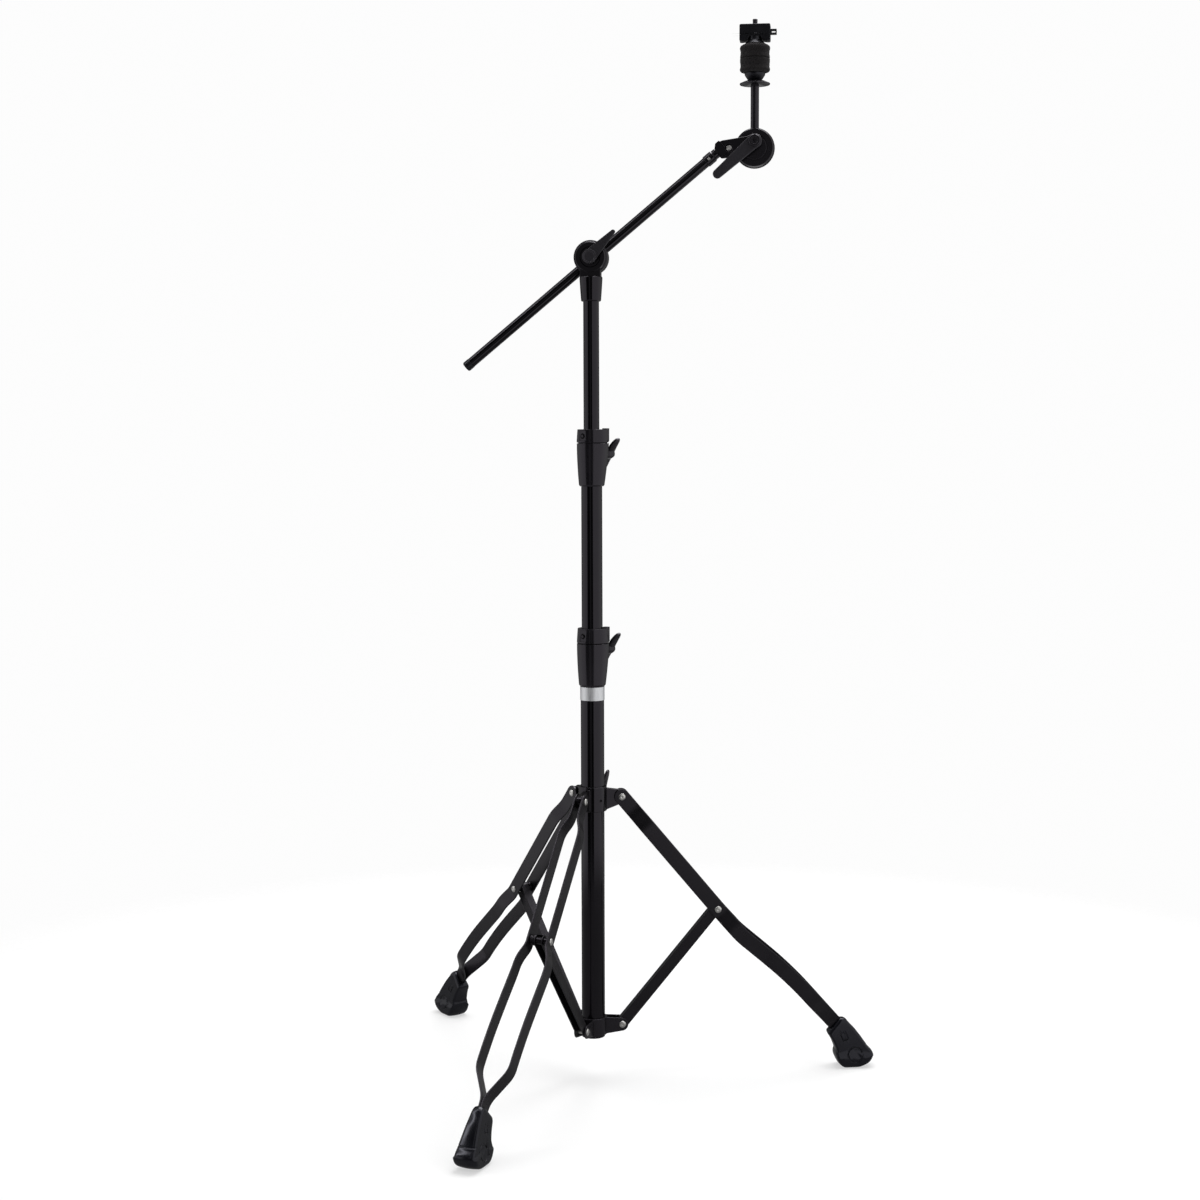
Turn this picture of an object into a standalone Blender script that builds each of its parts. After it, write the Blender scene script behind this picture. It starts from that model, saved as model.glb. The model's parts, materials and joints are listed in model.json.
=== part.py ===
"""Boom cymbal stand: a folding double-braced tripod, a two-stage telescoping mast and a tilting boom arm.

Everything is modelled in millimetres about the mast's axis and turned into metres by add(). +Z is up, and the boom
leans out along +X. The origin of the part is on the floor, at the middle of the part's footprint.
"""

import math

import bmesh
import bpy
from mathutils import Matrix, Vector

GAP = 0.3  # clearance kept between neighbouring pieces

# where the mast stands from the part's origin
MAST_X = -47.24
MAST_Y = 38.32

# tripod
LEG_NAMES = ("a", "b", "c")
LEG_AZIMUTHS = (13.4, 133.4, 253.4)
PIVOT_R = 35.3  # upper and lower pivots, from the mast's axis
UPPER_PIVOT_Z = 350.0
LOWER_PIVOT_Z = 66.0
MID_R = 153.5
MID_Z = 0.5 * (UPPER_PIVOT_Z + LOWER_PIVOT_Z)
STRAP_WIDTH = 18.5
STRAP_THICK = 2.5
CLOSED_HALF = 5.05  # half the distance between a leg's two straps, at the collar
OPEN_HALF = 12.55  # from the kink to the brace
WIDE_HALF = 20.0  # below the brace
TOE_HALF = 1.4  # where they meet above the foot
BRACE_WIDTH = 11.0
BRACE_DEPTH = 13.3
BRACE_WALL = 1.5
EAR_IN = 5.8
EAR_OUT = 7.5
LUG_HALF = 3.5
SHANK_R = 2.8
HEAD_R = 4.2
NECK_R = 4.6

# mast
BASE_R, BASE_BORE = 14.3, 13.1
MID_TUBE_R, MID_BORE = 12.7, 11.4
TOP_TUBE_R, TOP_BORE = 9.5, 8.2
BASE_BOTTOM, BASE_TOP = 51.0, 519.2
MID_BOTTOM, MID_TOP = 270.0, 761.7
TOP_BOTTOM, TOP_TOP = 560.0, 974.7
SWELL_AZIMUTH = 32.0
WING_AZIMUTH = 50.0
KEY_AZIMUTH = -123.5
KNUCKLE_AZIMUTH = 14.0

# boom
PIVOT_Z = 1002.0
BOOM_ANGLE = 39.5
BOOM_T = -20.5  # the rod's axis, behind the mast's
BOOM_R = 6.0
ROD_LOW, ROD_HIGH = -202.7, 176.0

# cymbal tilter and seat
HUB = (194.0, 1137.0)
STEM_X = 193.4
STEM_T = -26.0

SIDES = 24


def clear_scene():
    for obj in list(bpy.data.objects):
        bpy.data.objects.remove(obj, do_unlink=True)
    for mesh in list(bpy.data.meshes):
        bpy.data.meshes.remove(mesh)


def material(name, color, roughness, metallic):
    mat = bpy.data.materials.new(name)
    mat.use_nodes = True
    shader = mat.node_tree.nodes["Principled BSDF"]
    shader.inputs["Base Color"].default_value = (*color, 1.0)
    shader.inputs["Roughness"].default_value = roughness
    shader.inputs["Metallic"].default_value = metallic
    return mat


def as_mesh(bm):
    bmesh.ops.recalc_face_normals(bm, faces=bm.faces)
    mesh = bpy.data.meshes.new("shape")
    bm.to_mesh(mesh)
    bm.free()
    return mesh


def moved(mesh, matrix):
    mesh.transform(matrix)
    return mesh


def combine(first, second, operation):
    """One mesh from two, by an exact Boolean."""
    objs = []
    for mesh in (first, second):
        obj = bpy.data.objects.new("work", mesh)
        bpy.context.scene.collection.objects.link(obj)
        objs.append(obj)
    mod = objs[0].modifiers.new("cut", "BOOLEAN")
    mod.solver = "EXACT"
    mod.operation = operation
    mod.object = objs[1]
    bpy.context.view_layer.update()
    graph = bpy.context.evaluated_depsgraph_get()
    result = bpy.data.meshes.new_from_object(objs[0].evaluated_get(graph))
    for obj in objs:
        bpy.data.objects.remove(obj, do_unlink=True)
    return result


def join(first, *others):
    for other in others:
        first = combine(first, other, "UNION")
    return first


def cut(first, *others):
    for other in others:
        first = combine(first, other, "DIFFERENCE")
    return first


def turned(profile, sides=SIDES, closed=False, swell=None):
    """A profile of (radius, height) turned about Z. A closed profile makes a ring, an open one gets end caps.

    swell is a list with one amount for each point, pushed outwards around SWELL_AZIMUTH."""
    bm = bmesh.new()
    rings = []
    for k, (radius, height) in enumerate(profile):
        if radius < 1e-6:
            rings.append([bm.verts.new((0, 0, height))])
            continue
        ring = []
        for i in range(sides):
            angle = math.tau * i / sides
            away = (math.degrees(angle) - SWELL_AZIMUTH + 180) % 360 - 180
            extra = swell[k] * math.exp(-((away / 50) ** 2)) if swell else 0
            reach = radius + extra
            ring.append(bm.verts.new((reach * math.cos(angle), reach * math.sin(angle), height)))
        rings.append(ring)
    pairs = list(zip(rings, rings[1:]))
    if closed:
        pairs.append((rings[-1], rings[0]))
    for low, high in pairs:
        for i in range(sides):
            j = (i + 1) % sides
            if len(low) == 1:
                bm.faces.new((low[0], high[i], high[j]))
            elif len(high) == 1:
                bm.faces.new((low[i], low[j], high[0]))
            else:
                bm.faces.new((low[i], low[j], high[j], high[i]))
    if not closed:
        for ring in (rings[0], rings[-1]):
            if len(ring) > 1:
                bm.faces.new(ring)
    return as_mesh(bm)


def along(direction, origin=(0, 0, 0)):
    """The matrix that takes +Z to a direction, and the origin to a point."""
    spin = Vector((0, 0, 1)).rotation_difference(Vector(direction)).to_matrix().to_4x4()
    return Matrix.Translation(Vector(origin)) @ spin


def bar(start, end, radius, sides=12):
    """A plain round bar between two points."""
    start, end = Vector(start), Vector(end)
    mesh = turned([(radius, 0), (radius, (end - start).length)], sides)
    return moved(mesh, along(end - start, start))


def prism(outline, low, high):
    """An outline in X and Y, extruded along Z."""
    bm = bmesh.new()
    bottom = [bm.verts.new((x, y, low)) for x, y in outline]
    top = [bm.verts.new((x, y, high)) for x, y in outline]
    count = len(outline)
    for i in range(count):
        j = (i + 1) % count
        bm.faces.new((bottom[i], bottom[j], top[j], top[i]))
    bm.faces.new(bottom)
    bm.faces.new(top)
    return as_mesh(bm)


def upright(outline, low, high):
    """An outline in X and Z, extruded along Y from low to high."""
    return moved(prism([(x, -z) for x, z in outline], low, high), Matrix.Rotation(math.radians(-90), 4, "X"))


def boom_plate(outline, back, front):
    """An outline in the boom's plane, between two distances in front of the mast's axis (+t is -Y)."""
    return upright(outline, -front, -back)


def block(x, y, z):
    return prism([(x[0], y[0]), (x[1], y[0]), (x[1], y[1]), (x[0], y[1])], z[0], z[1])


def arc(center, radius, start, end, steps):
    span = [math.radians(start + (end - start) * i / steps) for i in range(steps + 1)]
    return [(center[0] + radius * math.cos(a), center[1] + radius * math.sin(a)) for a in span]


def capsule(start, end, radius_start, radius_end, steps=6):
    """The outline around two circles and the tangents between them."""
    dx, dy = end[0] - start[0], end[1] - start[1]
    turn = math.degrees(math.atan2(dy, dx))
    lean = math.degrees(math.asin((radius_start - radius_end) / math.hypot(dx, dy)))
    back = arc(start, radius_start, turn + 90 - lean, turn + 270 + lean, steps)
    front = arc(end, radius_end, turn - 90 + lean, turn + 90 - lean, steps)
    return back + front


def add(name, mesh, mat, pivot=(0, 0, 0), around_mast=0.0):
    """Turn a mesh about the mast, scale it to metres and give it its own origin at the pivot."""
    turn = Matrix.Rotation(math.radians(around_mast), 4, "Z")
    pivot = turn @ Vector(pivot)
    mesh.transform(Matrix.Scale(0.001, 4) @ Matrix.Translation(-pivot) @ turn)
    mesh.name = name
    mesh.materials.clear()
    mesh.materials.append(mat)
    mesh.shade_smooth()
    mesh.set_sharp_from_angle(angle=math.radians(35))
    obj = bpy.data.objects.new(name, mesh)
    obj.location = (pivot + Vector((MAST_X, MAST_Y, 0))) * 0.001
    bpy.context.scene.collection.objects.link(obj)
    return obj


def radial(azimuth, distance, height):
    angle = math.radians(azimuth)
    return Vector((distance * math.cos(angle), distance * math.sin(angle), height))


def radial_bar(azimuth, height, inner, outer, radius, sides=12):
    return bar(radial(azimuth, inner, height), radial(azimuth, outer, height), radius, sides)


# ---------------------------------------------------------------- tripod


def strap_path():
    """Stations along a leg strap, in the leg's plane: (radius, height, half spread)."""
    run, drop = MID_R - PIVOT_R, UPPER_PIVOT_Z - MID_Z
    length = math.hypot(run, drop)
    ux, uz = run / length, -drop / length

    def on_line(s, half):
        return (PIVOT_R + ux * s, UPPER_PIVOT_Z + uz * s, half)

    upper = [on_line(s, CLOSED_HALF) for s in (0, 26)]
    upper += [on_line(s, OPEN_HALF) for s in (43, length, length + 9)]
    lower = [(170.5, 188.4, WIDE_HALF - 0.6), (181.7, 175.6, WIDE_HALF), (197.0, 162.6, WIDE_HALF)]
    lower += [(212.3, 149.6, WIDE_HALF), (228.0, 136.0, WIDE_HALF), (243.2, 121.8, WIDE_HALF)]
    lower += [(259.2, 105.6, WIDE_HALF), (273.5, 89.6, WIDE_HALF)]
    toe = [(296.2, 64.4, TOE_HALF), (314.0, 44.6, TOE_HALF)]
    return upper + lower + toe


def strap(side):
    """A flat steel strap, swept along its path, with a rounded top end."""
    path = [Vector((r, side * half, z)) for r, z, half in strap_path()]
    tangents = []
    for i in range(len(path)):
        before = (path[i] - path[max(i - 1, 0)]).normalized() if i else None
        after = (path[i + 1] - path[i]).normalized() if i + 1 < len(path) else None
        tangents.append(((before or after) + (after or before)).normalized())
    half = STRAP_WIDTH / 2
    top = [(-half * math.sin(math.radians(a)), half * math.cos(math.radians(a))) for a in (76, 55, 30)]
    stations = [(path[0] + tangents[0] * s, tangents[0], w) for s, w in top]
    stations += [(p, t, half) for p, t in zip(path, tangents)]
    bm = bmesh.new()
    rings = []
    for point, tangent, width in stations:
        across = Vector((-tangent.z, 0, tangent.x)).normalized() * width
        flat = tangent.cross(across).normalized() * (STRAP_THICK / 2)
        corners = (point + across + flat, point + across - flat, point - across - flat, point - across + flat)
        rings.append([bm.verts.new(c) for c in corners])
    for low, high in zip(rings, rings[1:]):
        for i in range(4):
            j = (i + 1) % 4
            bm.faces.new((low[i], low[j], high[j], high[i]))
    bm.faces.new(rings[0])
    bm.faces.new(rings[-1])
    mesh = as_mesh(bm)
    for r, z in ((PIVOT_R, UPPER_PIVOT_Z), (MID_R, MID_Z)):
        mesh = cut(mesh, bar((r, -30, z), (r, 30, z), SHANK_R + GAP))
    return mesh


def rivet(r, z, half):
    """A rivet across the leg's plane, with a low domed head outside each face."""
    face = half + GAP
    dome = [(HEAD_R, 0.0), (HEAD_R * 0.86, 0.8), (HEAD_R * 0.4, 1.25)]
    profile = [(radius, -face - height) for radius, height in reversed(dome)]
    profile += [(SHANK_R, -face), (SHANK_R, face)]
    profile += [(radius, face + height) for radius, height in dome]
    mesh = turned(profile, 12)
    return moved(mesh, Matrix.Translation((r, 0, z)) @ Matrix.Rotation(math.radians(-90), 4, "X"))


def spacer():
    """A shouldered spacer between the straps: a wide barrel on one side of the brace, a neck through it."""
    inner = OPEN_HALF - STRAP_THICK / 2 - GAP
    shoulder = -BRACE_WIDTH / 2 - GAP
    bore = SHANK_R + GAP
    profile = [(bore, -inner), (6.4, -inner), (6.4, shoulder)]
    profile += [(NECK_R, shoulder), (NECK_R, inner), (bore, inner)]
    mesh = turned(profile, 16, closed=True)
    return moved(mesh, Matrix.Translation((MID_R, 0, MID_Z)) @ Matrix.Rotation(math.radians(-90), 4, "X"))


def brace():
    """A channel-section brace with round ends, open on its outer, lower side."""
    low, high = (PIVOT_R, LOWER_PIVOT_Z), (MID_R, MID_Z)
    half = BRACE_WIDTH / 2
    depth = BRACE_DEPTH / 2
    body = upright(capsule(low, high, depth, depth), -half, half)
    length = math.hypot(high[0] - low[0], high[1] - low[1])
    lean = math.atan2(high[1] - low[1], high[0] - low[0])
    wall = half - BRACE_WALL
    hollow = block((-20, length + 20), (-wall, wall), (-20, depth - BRACE_WALL))
    hollow = moved(hollow, Matrix.Translation((low[0], 0, low[1])) @ Matrix.Rotation(-lean, 4, "Y"))
    body = cut(body, hollow)
    body = cut(body, bar((low[0], -20, low[1]), (low[0], 20, low[1]), SHANK_R + GAP))
    return cut(body, bar((high[0], -20, high[1]), (high[0], 20, high[1]), NECK_R + GAP, 16))


def foot():
    """A moulded rubber foot: a tapered body over a flared, rounded base, with a pocket for the straps."""
    outline = [(314.0, 0.0), (334.5, 0.0), (341.0, 2.4), (346.0, 5.0), (349.4, 8.2), (352.9, 15.6), (351.2, 19.8)]
    outline += [(346.6, 24.4), (337.4, 37.6), (329.6, 47.8), (321.8, 55.9), (318.0, 60.8), (314.0, 62.9)]
    outline += [(309.0, 62.2), (296.8, 49.2), (294.2, 46.2), (294.4, 43.6), (300.2, 34.0), (304.6, 23.0)]
    outline += [(303.2, 18.6), (304.6, 12.0)]
    outline += [(308.4, 4.6)]
    middle = Vector((322.0, 28.0))

    def half_width(z):
        if z < 17.5:
            return 14.6
        return 12.0 - 3.0 * (z - 17.5) / 45.0

    bm = bmesh.new()
    loops = []
    for sign, rim in ((-1, True), (-1, False), (1, False), (1, True)):
        loop = []
        for x, z in outline:
            width = half_width(z)
            point = Vector((x, z))
            if rim:
                point = middle + (point - middle) * 0.88
            else:
                width -= 1.8
            loop.append(bm.verts.new((point.x, sign * width, point.y)))
        loops.append(loop)
    count = len(outline)
    for low, high in zip(loops, loops[1:]):
        for i in range(count):
            j = (i + 1) % count
            bm.faces.new((low[i], low[j], high[j], high[i]))
    caps = [bm.faces.new(loops[0]), bm.faces.new(loops[-1])]
    bmesh.ops.triangulate(bm, faces=caps)
    body = as_mesh(bm)
    start, end = strap_path()[-2], strap_path()[-1]
    lean = math.atan2(start[1] - end[1], end[0] - start[0])
    pocket = block((-4, 28), (-TOE_HALF - 1.65, TOE_HALF + 1.65), (-STRAP_WIDTH / 2 - 0.4, STRAP_WIDTH / 2 + 0.4))
    return cut(body, moved(pocket, Matrix.Translation((start[0], 0, start[1])) @ Matrix.Rotation(lean, 4, "Y")))


def leg_collar():
    """The sliding collar: a ring with three lugs between the leg straps and a boss for the wing screw."""
    low, high = 333.5, 361.5
    outer = 17.2
    bore = BASE_R + GAP + 0.1
    profile = [(bore, low), (outer - 0.8, low), (outer, low + 0.8), (outer, high - 0.8), (outer - 0.8, high)]
    body = turned(profile + [(bore, high)], SIDES, closed=True)
    for azimuth in LEG_AZIMUTHS:
        tip = arc((PIVOT_R, UPPER_PIVOT_Z), 8.2, -60, 75, 4)
        outline = [(15.8, low + 0.6)] + tip + [(15.8, high - 0.6)]
        lug = cut(upright(outline, -LUG_HALF, LUG_HALF),
                  bar((PIVOT_R, -9, UPPER_PIVOT_Z), (PIVOT_R, 9, UPPER_PIVOT_Z), SHANK_R + GAP))
        body = join(body, moved(lug, Matrix.Rotation(math.radians(azimuth), 4, "Z")))
    screw = LEG_AZIMUTHS[0] + 60
    body = join(body, radial_bar(screw, 349.0, 15.9, 21.2, 6.4, 16))
    return cut(body, radial_bar(screw, 349.0, 10, 25, 3.3))


def brace_collar():
    """The fixed collar at the foot of the mast, with a pair of ears for each brace."""
    low, high = 54.5, 76.0
    bore = BASE_R + GAP
    outer = 17.0
    body = turned([(bore, low), (outer, low), (outer, high), (bore, high)], SIDES, closed=True)
    for azimuth in LEG_AZIMUTHS:
        for side in (-1, 1):
            tip = arc((PIVOT_R - 1.2, LOWER_PIVOT_Z), 8.4, -70, 70, 4)
            outline = [(14.4, low + 0.5)] + tip + [(14.4, high - 0.5)]
            faces = sorted((side * EAR_IN, side * EAR_OUT))
            ear = cut(upright(outline, *faces),
                      bar((PIVOT_R, -9, LOWER_PIVOT_Z), (PIVOT_R, 9, LOWER_PIVOT_Z), SHANK_R + GAP))
            body = join(body, moved(ear, Matrix.Rotation(math.radians(azimuth), 4, "Z")))
    return body


def build_tripod(black, rubber, silver):
    add("leg_collar", leg_collar(), black, (0, 0, UPPER_PIVOT_Z))
    add("brace_collar", brace_collar(), black, (0, 0, LOWER_PIVOT_Z))
    top, mid, low = (PIVOT_R, 0, UPPER_PIVOT_Z), (MID_R, 0, MID_Z), (PIVOT_R, 0, LOWER_PIVOT_Z)
    for name, azimuth in zip(LEG_NAMES, LEG_AZIMUTHS):
        add(f"leg_{name}_strap_left", strap(1), black, top, azimuth)
        add(f"leg_{name}_strap_right", strap(-1), black, top, azimuth)
        add(f"leg_{name}_foot", foot(), rubber, top, azimuth)
        add(f"leg_{name}_spacer", spacer(), black, mid, azimuth)
        add(f"leg_{name}_top_rivet", rivet(PIVOT_R, UPPER_PIVOT_Z, CLOSED_HALF + STRAP_THICK / 2), silver, top, azimuth)
        add(f"leg_{name}_mid_rivet", rivet(MID_R, MID_Z, OPEN_HALF + STRAP_THICK / 2), silver, mid, azimuth)
        add(f"brace_{name}", brace(), black, low, azimuth)
        add(f"brace_{name}_low_rivet", rivet(PIVOT_R, LOWER_PIVOT_Z, EAR_OUT), silver, low, azimuth)


# ---------------------------------------------------------------- mast


def tube(outer, bore, low, high):
    return turned([(bore, low), (outer, low), (outer, high), (bore, high)], SIDES, closed=True)


def wing_screw(azimuth, height, tip, face, roll, reach=1.0):
    """A screw pointing at the mast, from its tip to its hub's face, with two swept wings."""
    profile = [(2.2, tip), (3.0, tip + 0.8), (3.0, face), (5.6, face), (6.4, face + 0.8), (6.2, face + 8.0)]
    profile += [(4.6, face + 11.6)]
    body = turned(profile, 12)
    for side in (1, -1):
        outline = [(2.0, face + 0.8), (9.0, face + 1.6), (15.0, face + 4.4), (20.0, face + 7.6)]
        outline += [(23.2, face + 9.6), (23.4, face + 11.4), (21.5, face + 12.4), (16.0, face + 12.0)]
        outline += [(9.0, face + 11.4), (2.0, face + 11.3)]
        blade = upright([(side * x * reach, z) for x, z in outline], -2.5, 2.5)
        body = join(body, blade)
    body = moved(body, Matrix.Rotation(math.radians(-roll), 4, "Z"))
    axis = radial(azimuth, 1, 0)
    side = Vector((-axis.y, axis.x, 0))
    frame = Matrix((side, Vector((0, 0, 1)), axis)).transposed().to_4x4()
    return moved(body, Matrix.Translation((0, 0, height)) @ frame)


def joint_housing(low, high, bottom_r, top_r, lower_bore, shoulder, upper_bore, screw_z, bulge):
    """A tapered clamp: it swells on the wing screw's side and has a stepped bore for the tube and the bushing."""
    profile = [(lower_bore, low), (bottom_r - 1.2, low), (bottom_r, low + 1.6)]
    swell = [0, 0, 0.2]
    for share in (0.35, 0.62, 0.85):
        radius = bottom_r + (top_r - bottom_r) * math.sin(share * math.pi / 2)
        profile.append((radius, low + (high - low) * share))
        swell.append(bulge * share)
    profile += [(top_r, high - 0.8), (top_r - 0.6, high), (upper_bore, high), (upper_bore, shoulder)]
    profile += [(lower_bore, shoulder)]
    swell += [bulge, bulge, 0, 0, 0]
    body = turned(profile, SIDES, closed=True, swell=swell)
    body = join(body, radial_bar(WING_AZIMUTH, screw_z, top_r - 1.0, 22.6, 6.6, 16))
    return cut(body, radial_bar(WING_AZIMUTH, screw_z, upper_bore - 3, 26, 3.3))


def memory_lock(low, high, bore, bottom_r, top_r, bulge):
    """A lock ring with a hinge knuckle and a radial hole for its key screw."""
    profile = [(bore, low), (bottom_r, low), (bottom_r, low + 3), (top_r, high - 0.8), (top_r - 0.8, high)]
    profile.append((bore, high))
    body = turned(profile, SIDES, closed=True, swell=[0, bulge, bulge, bulge, bulge, 0])
    place = radial(KNUCKLE_AZIMUTH, 17.3, 0)
    body = join(body, bar((place.x, place.y, low + 2), (place.x, place.y, high + 1.2), 4.2, 16))
    body = cut(body, bar((0, 0, low - 5), (0, 0, high + 5), bore, SIDES))
    middle = (low + high) / 2
    return cut(body, radial_bar(KEY_AZIMUTH, middle, bore - 4, bottom_r + 6, 3.2))


def key_screw(height, tip, end):
    """A short screw with a square head, inside the lock ring."""
    shank = turned([(2.3, tip), (2.8, tip + 0.5), (2.8, end - 2.6), (1.6, end - 2.6)], 14)
    head = block((-1.7, 1.7), (-1.7, 1.7), (end - 3.2, end))
    return moved(join(shank, head), along(radial(KEY_AZIMUTH, 1, 0), (0, 0, height)))


def build_mast(black, nylon, silver, band):
    low, high = 487.0, 538.8
    add("base_tube", tube(BASE_R, BASE_BORE, BASE_BOTTOM, BASE_TOP), black)
    add("label_band", tube(BASE_R + 0.55, BASE_R + 0.25, 469.9, 486.2), band)
    housing = joint_housing(low, high, 16.3, 18.6, BASE_R + GAP, 519.6, 17.0, 530.0, 2.6)
    add("lower_joint_housing", housing, black, (0, 0, low))
    add("lower_bushing", tube(16.7, MID_TUBE_R + GAP + 0.05, 519.9, 538.5), nylon, (0, 0, 519.9))
    add("lower_wing_screw", wing_screw(WING_AZIMUTH, 530.0, 17.2, 22.9, 41), black,
        radial(WING_AZIMUTH, 22.9, 530.0))
    lock = memory_lock(539.1, 557.4, MID_TUBE_R + GAP + 0.1, 18.6, 17.6, 2.2)
    add("lower_memory_lock", lock, black, (0, 0, 539.1))
    add("lower_lock_key_screw", key_screw(548.35, 13.7, 18.4), black, radial(KEY_AZIMUTH, 16.0, 548.35))
    screw = wing_screw(LEG_AZIMUTHS[0] + 60, 349.0, 14.8, 21.6, 78, 1.16)
    add("leg_collar_wing_screw", screw, black, radial(LEG_AZIMUTHS[0] + 60, 21.6, 349.0))

    low, high = 729.3, 780.9
    add("mid_tube", tube(MID_TUBE_R, MID_BORE, MID_BOTTOM, MID_TOP), black, (0, 0, MID_BOTTOM))
    housing = joint_housing(low, high, 15.4, 17.8, MID_TUBE_R + GAP, 762.1, 14.3, 768.0, 3.8)
    add("upper_joint_housing", housing, black, (0, 0, low))
    add("upper_bushing", tube(14.0, TOP_TUBE_R + GAP + 0.05, 762.4, 780.6), nylon, (0, 0, 762.4))
    screw = wing_screw(WING_AZIMUTH, 768.0, 14.5, 22.9, 60)
    add("upper_wing_screw", screw, black, radial(WING_AZIMUTH, 22.9, 768.0))
    lock = memory_lock(781.2, 797.7, TOP_TUBE_R + GAP + 0.1, 17.9, 17.0, 3.2)
    add("upper_memory_lock", lock, black, (0, 0, 781.2))
    add("upper_lock_key_screw", key_screw(789.55, 10.5, 17.4), black, radial(KEY_AZIMUTH, 14.0, 789.55))
    add("upper_tube", tube(TOP_TUBE_R, TOP_BORE, TOP_BOTTOM, TOP_TOP), black, (0, 0, TOP_BOTTOM))


# ---------------------------------------------------------------- boom


def boom_point(e, side=0.0, t=BOOM_T):
    """A point at a distance along the boom's axis, above it in its plane, and in front of the mast's axis."""
    angle = math.radians(BOOM_ANGLE)
    x = e * math.cos(angle) - side * math.sin(angle)
    z = PIVOT_Z + e * math.sin(angle) + side * math.cos(angle)
    return Vector((x, -t, z))


def boom_disc(profile, center, sides=SIDES):
    """A profile of (radius, t) turned about an axis across the boom's plane."""
    mesh = turned(profile, sides)
    return moved(mesh, Matrix.Translation((center[0], 0, center[1])) @ Matrix.Rotation(math.radians(90), 4, "X"))


def tilter_base():
    """A sleeve for the upper tube, and the fixed disc that stands over it."""
    outer = turned([(11.2, 950.0), (12.0, 951.0), (13.7, 976.0), (13.7, 978.4), (12.8, 979.5)], SIDES)
    sleeve = cut(outer, bar((0, 0, 940), (0, 0, TOP_TOP + GAP), TOP_TUBE_R + GAP, SIDES))
    neck = boom_plate([(-12.2, 978.6), (12.2, 978.6), (12.2, 992.0), (-12.2, 992.0)], -5.4, 9.0)
    disc = boom_disc([(20.3, -6.0), (20.3, 5.4), (18.8, 5.8), (17.4, 10.0)], (0, PIVOT_Z))
    return cut(join(sleeve, neck, disc), bar((0, 20, PIVOT_Z), (0, -20, PIVOT_Z), 4.3))


def tilter_disc():
    """The turning disc: a groove for the boom rod, a pocket for the eye and a hole for its shank."""
    disc = boom_disc([(18.9, -17.5), (20.1, -16.3), (20.1, -6.3)], (0, PIVOT_Z))
    pocket = block((-4.6, 4.6), (10.8, 20.0), (-10.2, 10.2))
    turn = Matrix.Translation((0, 0, PIVOT_Z)) @ Matrix.Rotation(math.radians(-BOOM_ANGLE), 4, "Y")
    disc = cut(disc, bar(boom_point(-40), boom_point(40), BOOM_R + GAP + 0.05, 24))
    disc = cut(disc, moved(pocket, turn))
    return cut(disc, bar((0, 20, PIVOT_Z), (0, 0, PIVOT_Z), 4.3))


def eye_bolt():
    """The eye that holds the boom rod, on the shank that runs forward to the lever."""
    eye = bar(boom_point(-4.2), boom_point(4.2), 9.3, 24)
    body = join(eye, bar((0, 13.4, PIVOT_Z), (0, -16.4, PIVOT_Z), 4.0))
    return cut(body, bar(boom_point(-10), boom_point(10), BOOM_R + GAP + 0.05, 24))


def tilter_lever():
    """A tapered lever nut on the front disc."""
    hub = boom_disc([(8.3, 10.3), (8.3, 18.0), (7.4, 19.0), (5.6, 19.0), (5.2, 18.4)], (0, PIVOT_Z), 24)
    tip = (28.4, PIVOT_Z + 28.6)
    arm = boom_plate(capsule((0, PIVOT_Z), tip, 8.1, 2.5), 14.1, 18.4)
    return cut(join(hub, arm), bar((0, 0, PIVOT_Z), (0, -16.9, PIVOT_Z), 4.3))


def boom_rod():
    """The solid rod: a spigot for its end cap, then the rod, a ferrule, a neck and a spigot for the bracket."""
    profile = [(4.6, ROD_LOW + 2.2), (4.6, ROD_LOW + 9.0), (BOOM_R, ROD_LOW + 9.0), (BOOM_R, ROD_HIGH)]
    profile += [(7.0, ROD_HIGH + 0.4), (7.0, 187.0), (6.0, 188.0), (6.0, 192.9), (4.0, 192.9), (4.0, 201.0)]
    axis = boom_point(1) - boom_point(0)
    rod = moved(turned(profile, 24), along(axis, boom_point(0)))
    return cut(rod, bar(boom_point(181, 0, BOOM_T + 3.4), boom_point(181, 0, BOOM_T + 10), 2.3, 14))


def end_cap():
    """A plastic cup over the rod's lower end."""
    outer = turned([(5.2, 0.0), (6.3, 1.2), (6.3, 8.7)], 20)
    inner = turned([(4.9, 1.9), (4.9, 12.0)], 20)
    mesh = cut(outer, inner)
    axis = boom_point(1) - boom_point(0)
    return moved(mesh, along(axis, boom_point(ROD_LOW)))


def bracket():
    """The end bracket: a block over the rod's spigot, and a lug plate that carries the cymbal tilter's hub."""
    x, z = HUB
    outline = [(155.0, 1118.2), (165.0, 1119.5), (189.0, 1129.6)] + arc(HUB, 8.6, -60, 100, 8)
    outline += [(184.0, 1142.6), (151.6, 1138.3), (146.0, 1133.8), (151.8, 1121.8)]
    plate = boom_plate(outline, -19.5, -13.9)
    box = block((193.2, 203.6), (13.9, 27.1), (-9.0, 9.0))
    box = moved(box, Matrix.Translation((0, 0, PIVOT_Z)) @ Matrix.Rotation(math.radians(-BOOM_ANGLE), 4, "Y"))
    body = join(plate, box)
    body = cut(body, bar(boom_point(190), boom_point(201.6), 4.3, 20))
    body = cut(body, bar((x, 10, z), (x, 25, z), 4.3, 20))
    body = cut(body, bar((163.5, 10, 1129.7), (163.5, 25, 1129.7), 2.5, 14))
    return cut(body, bar((163.5, 10, 1129.7), (163.5, 16.4, 1129.7), 4.6, 20))


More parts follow.
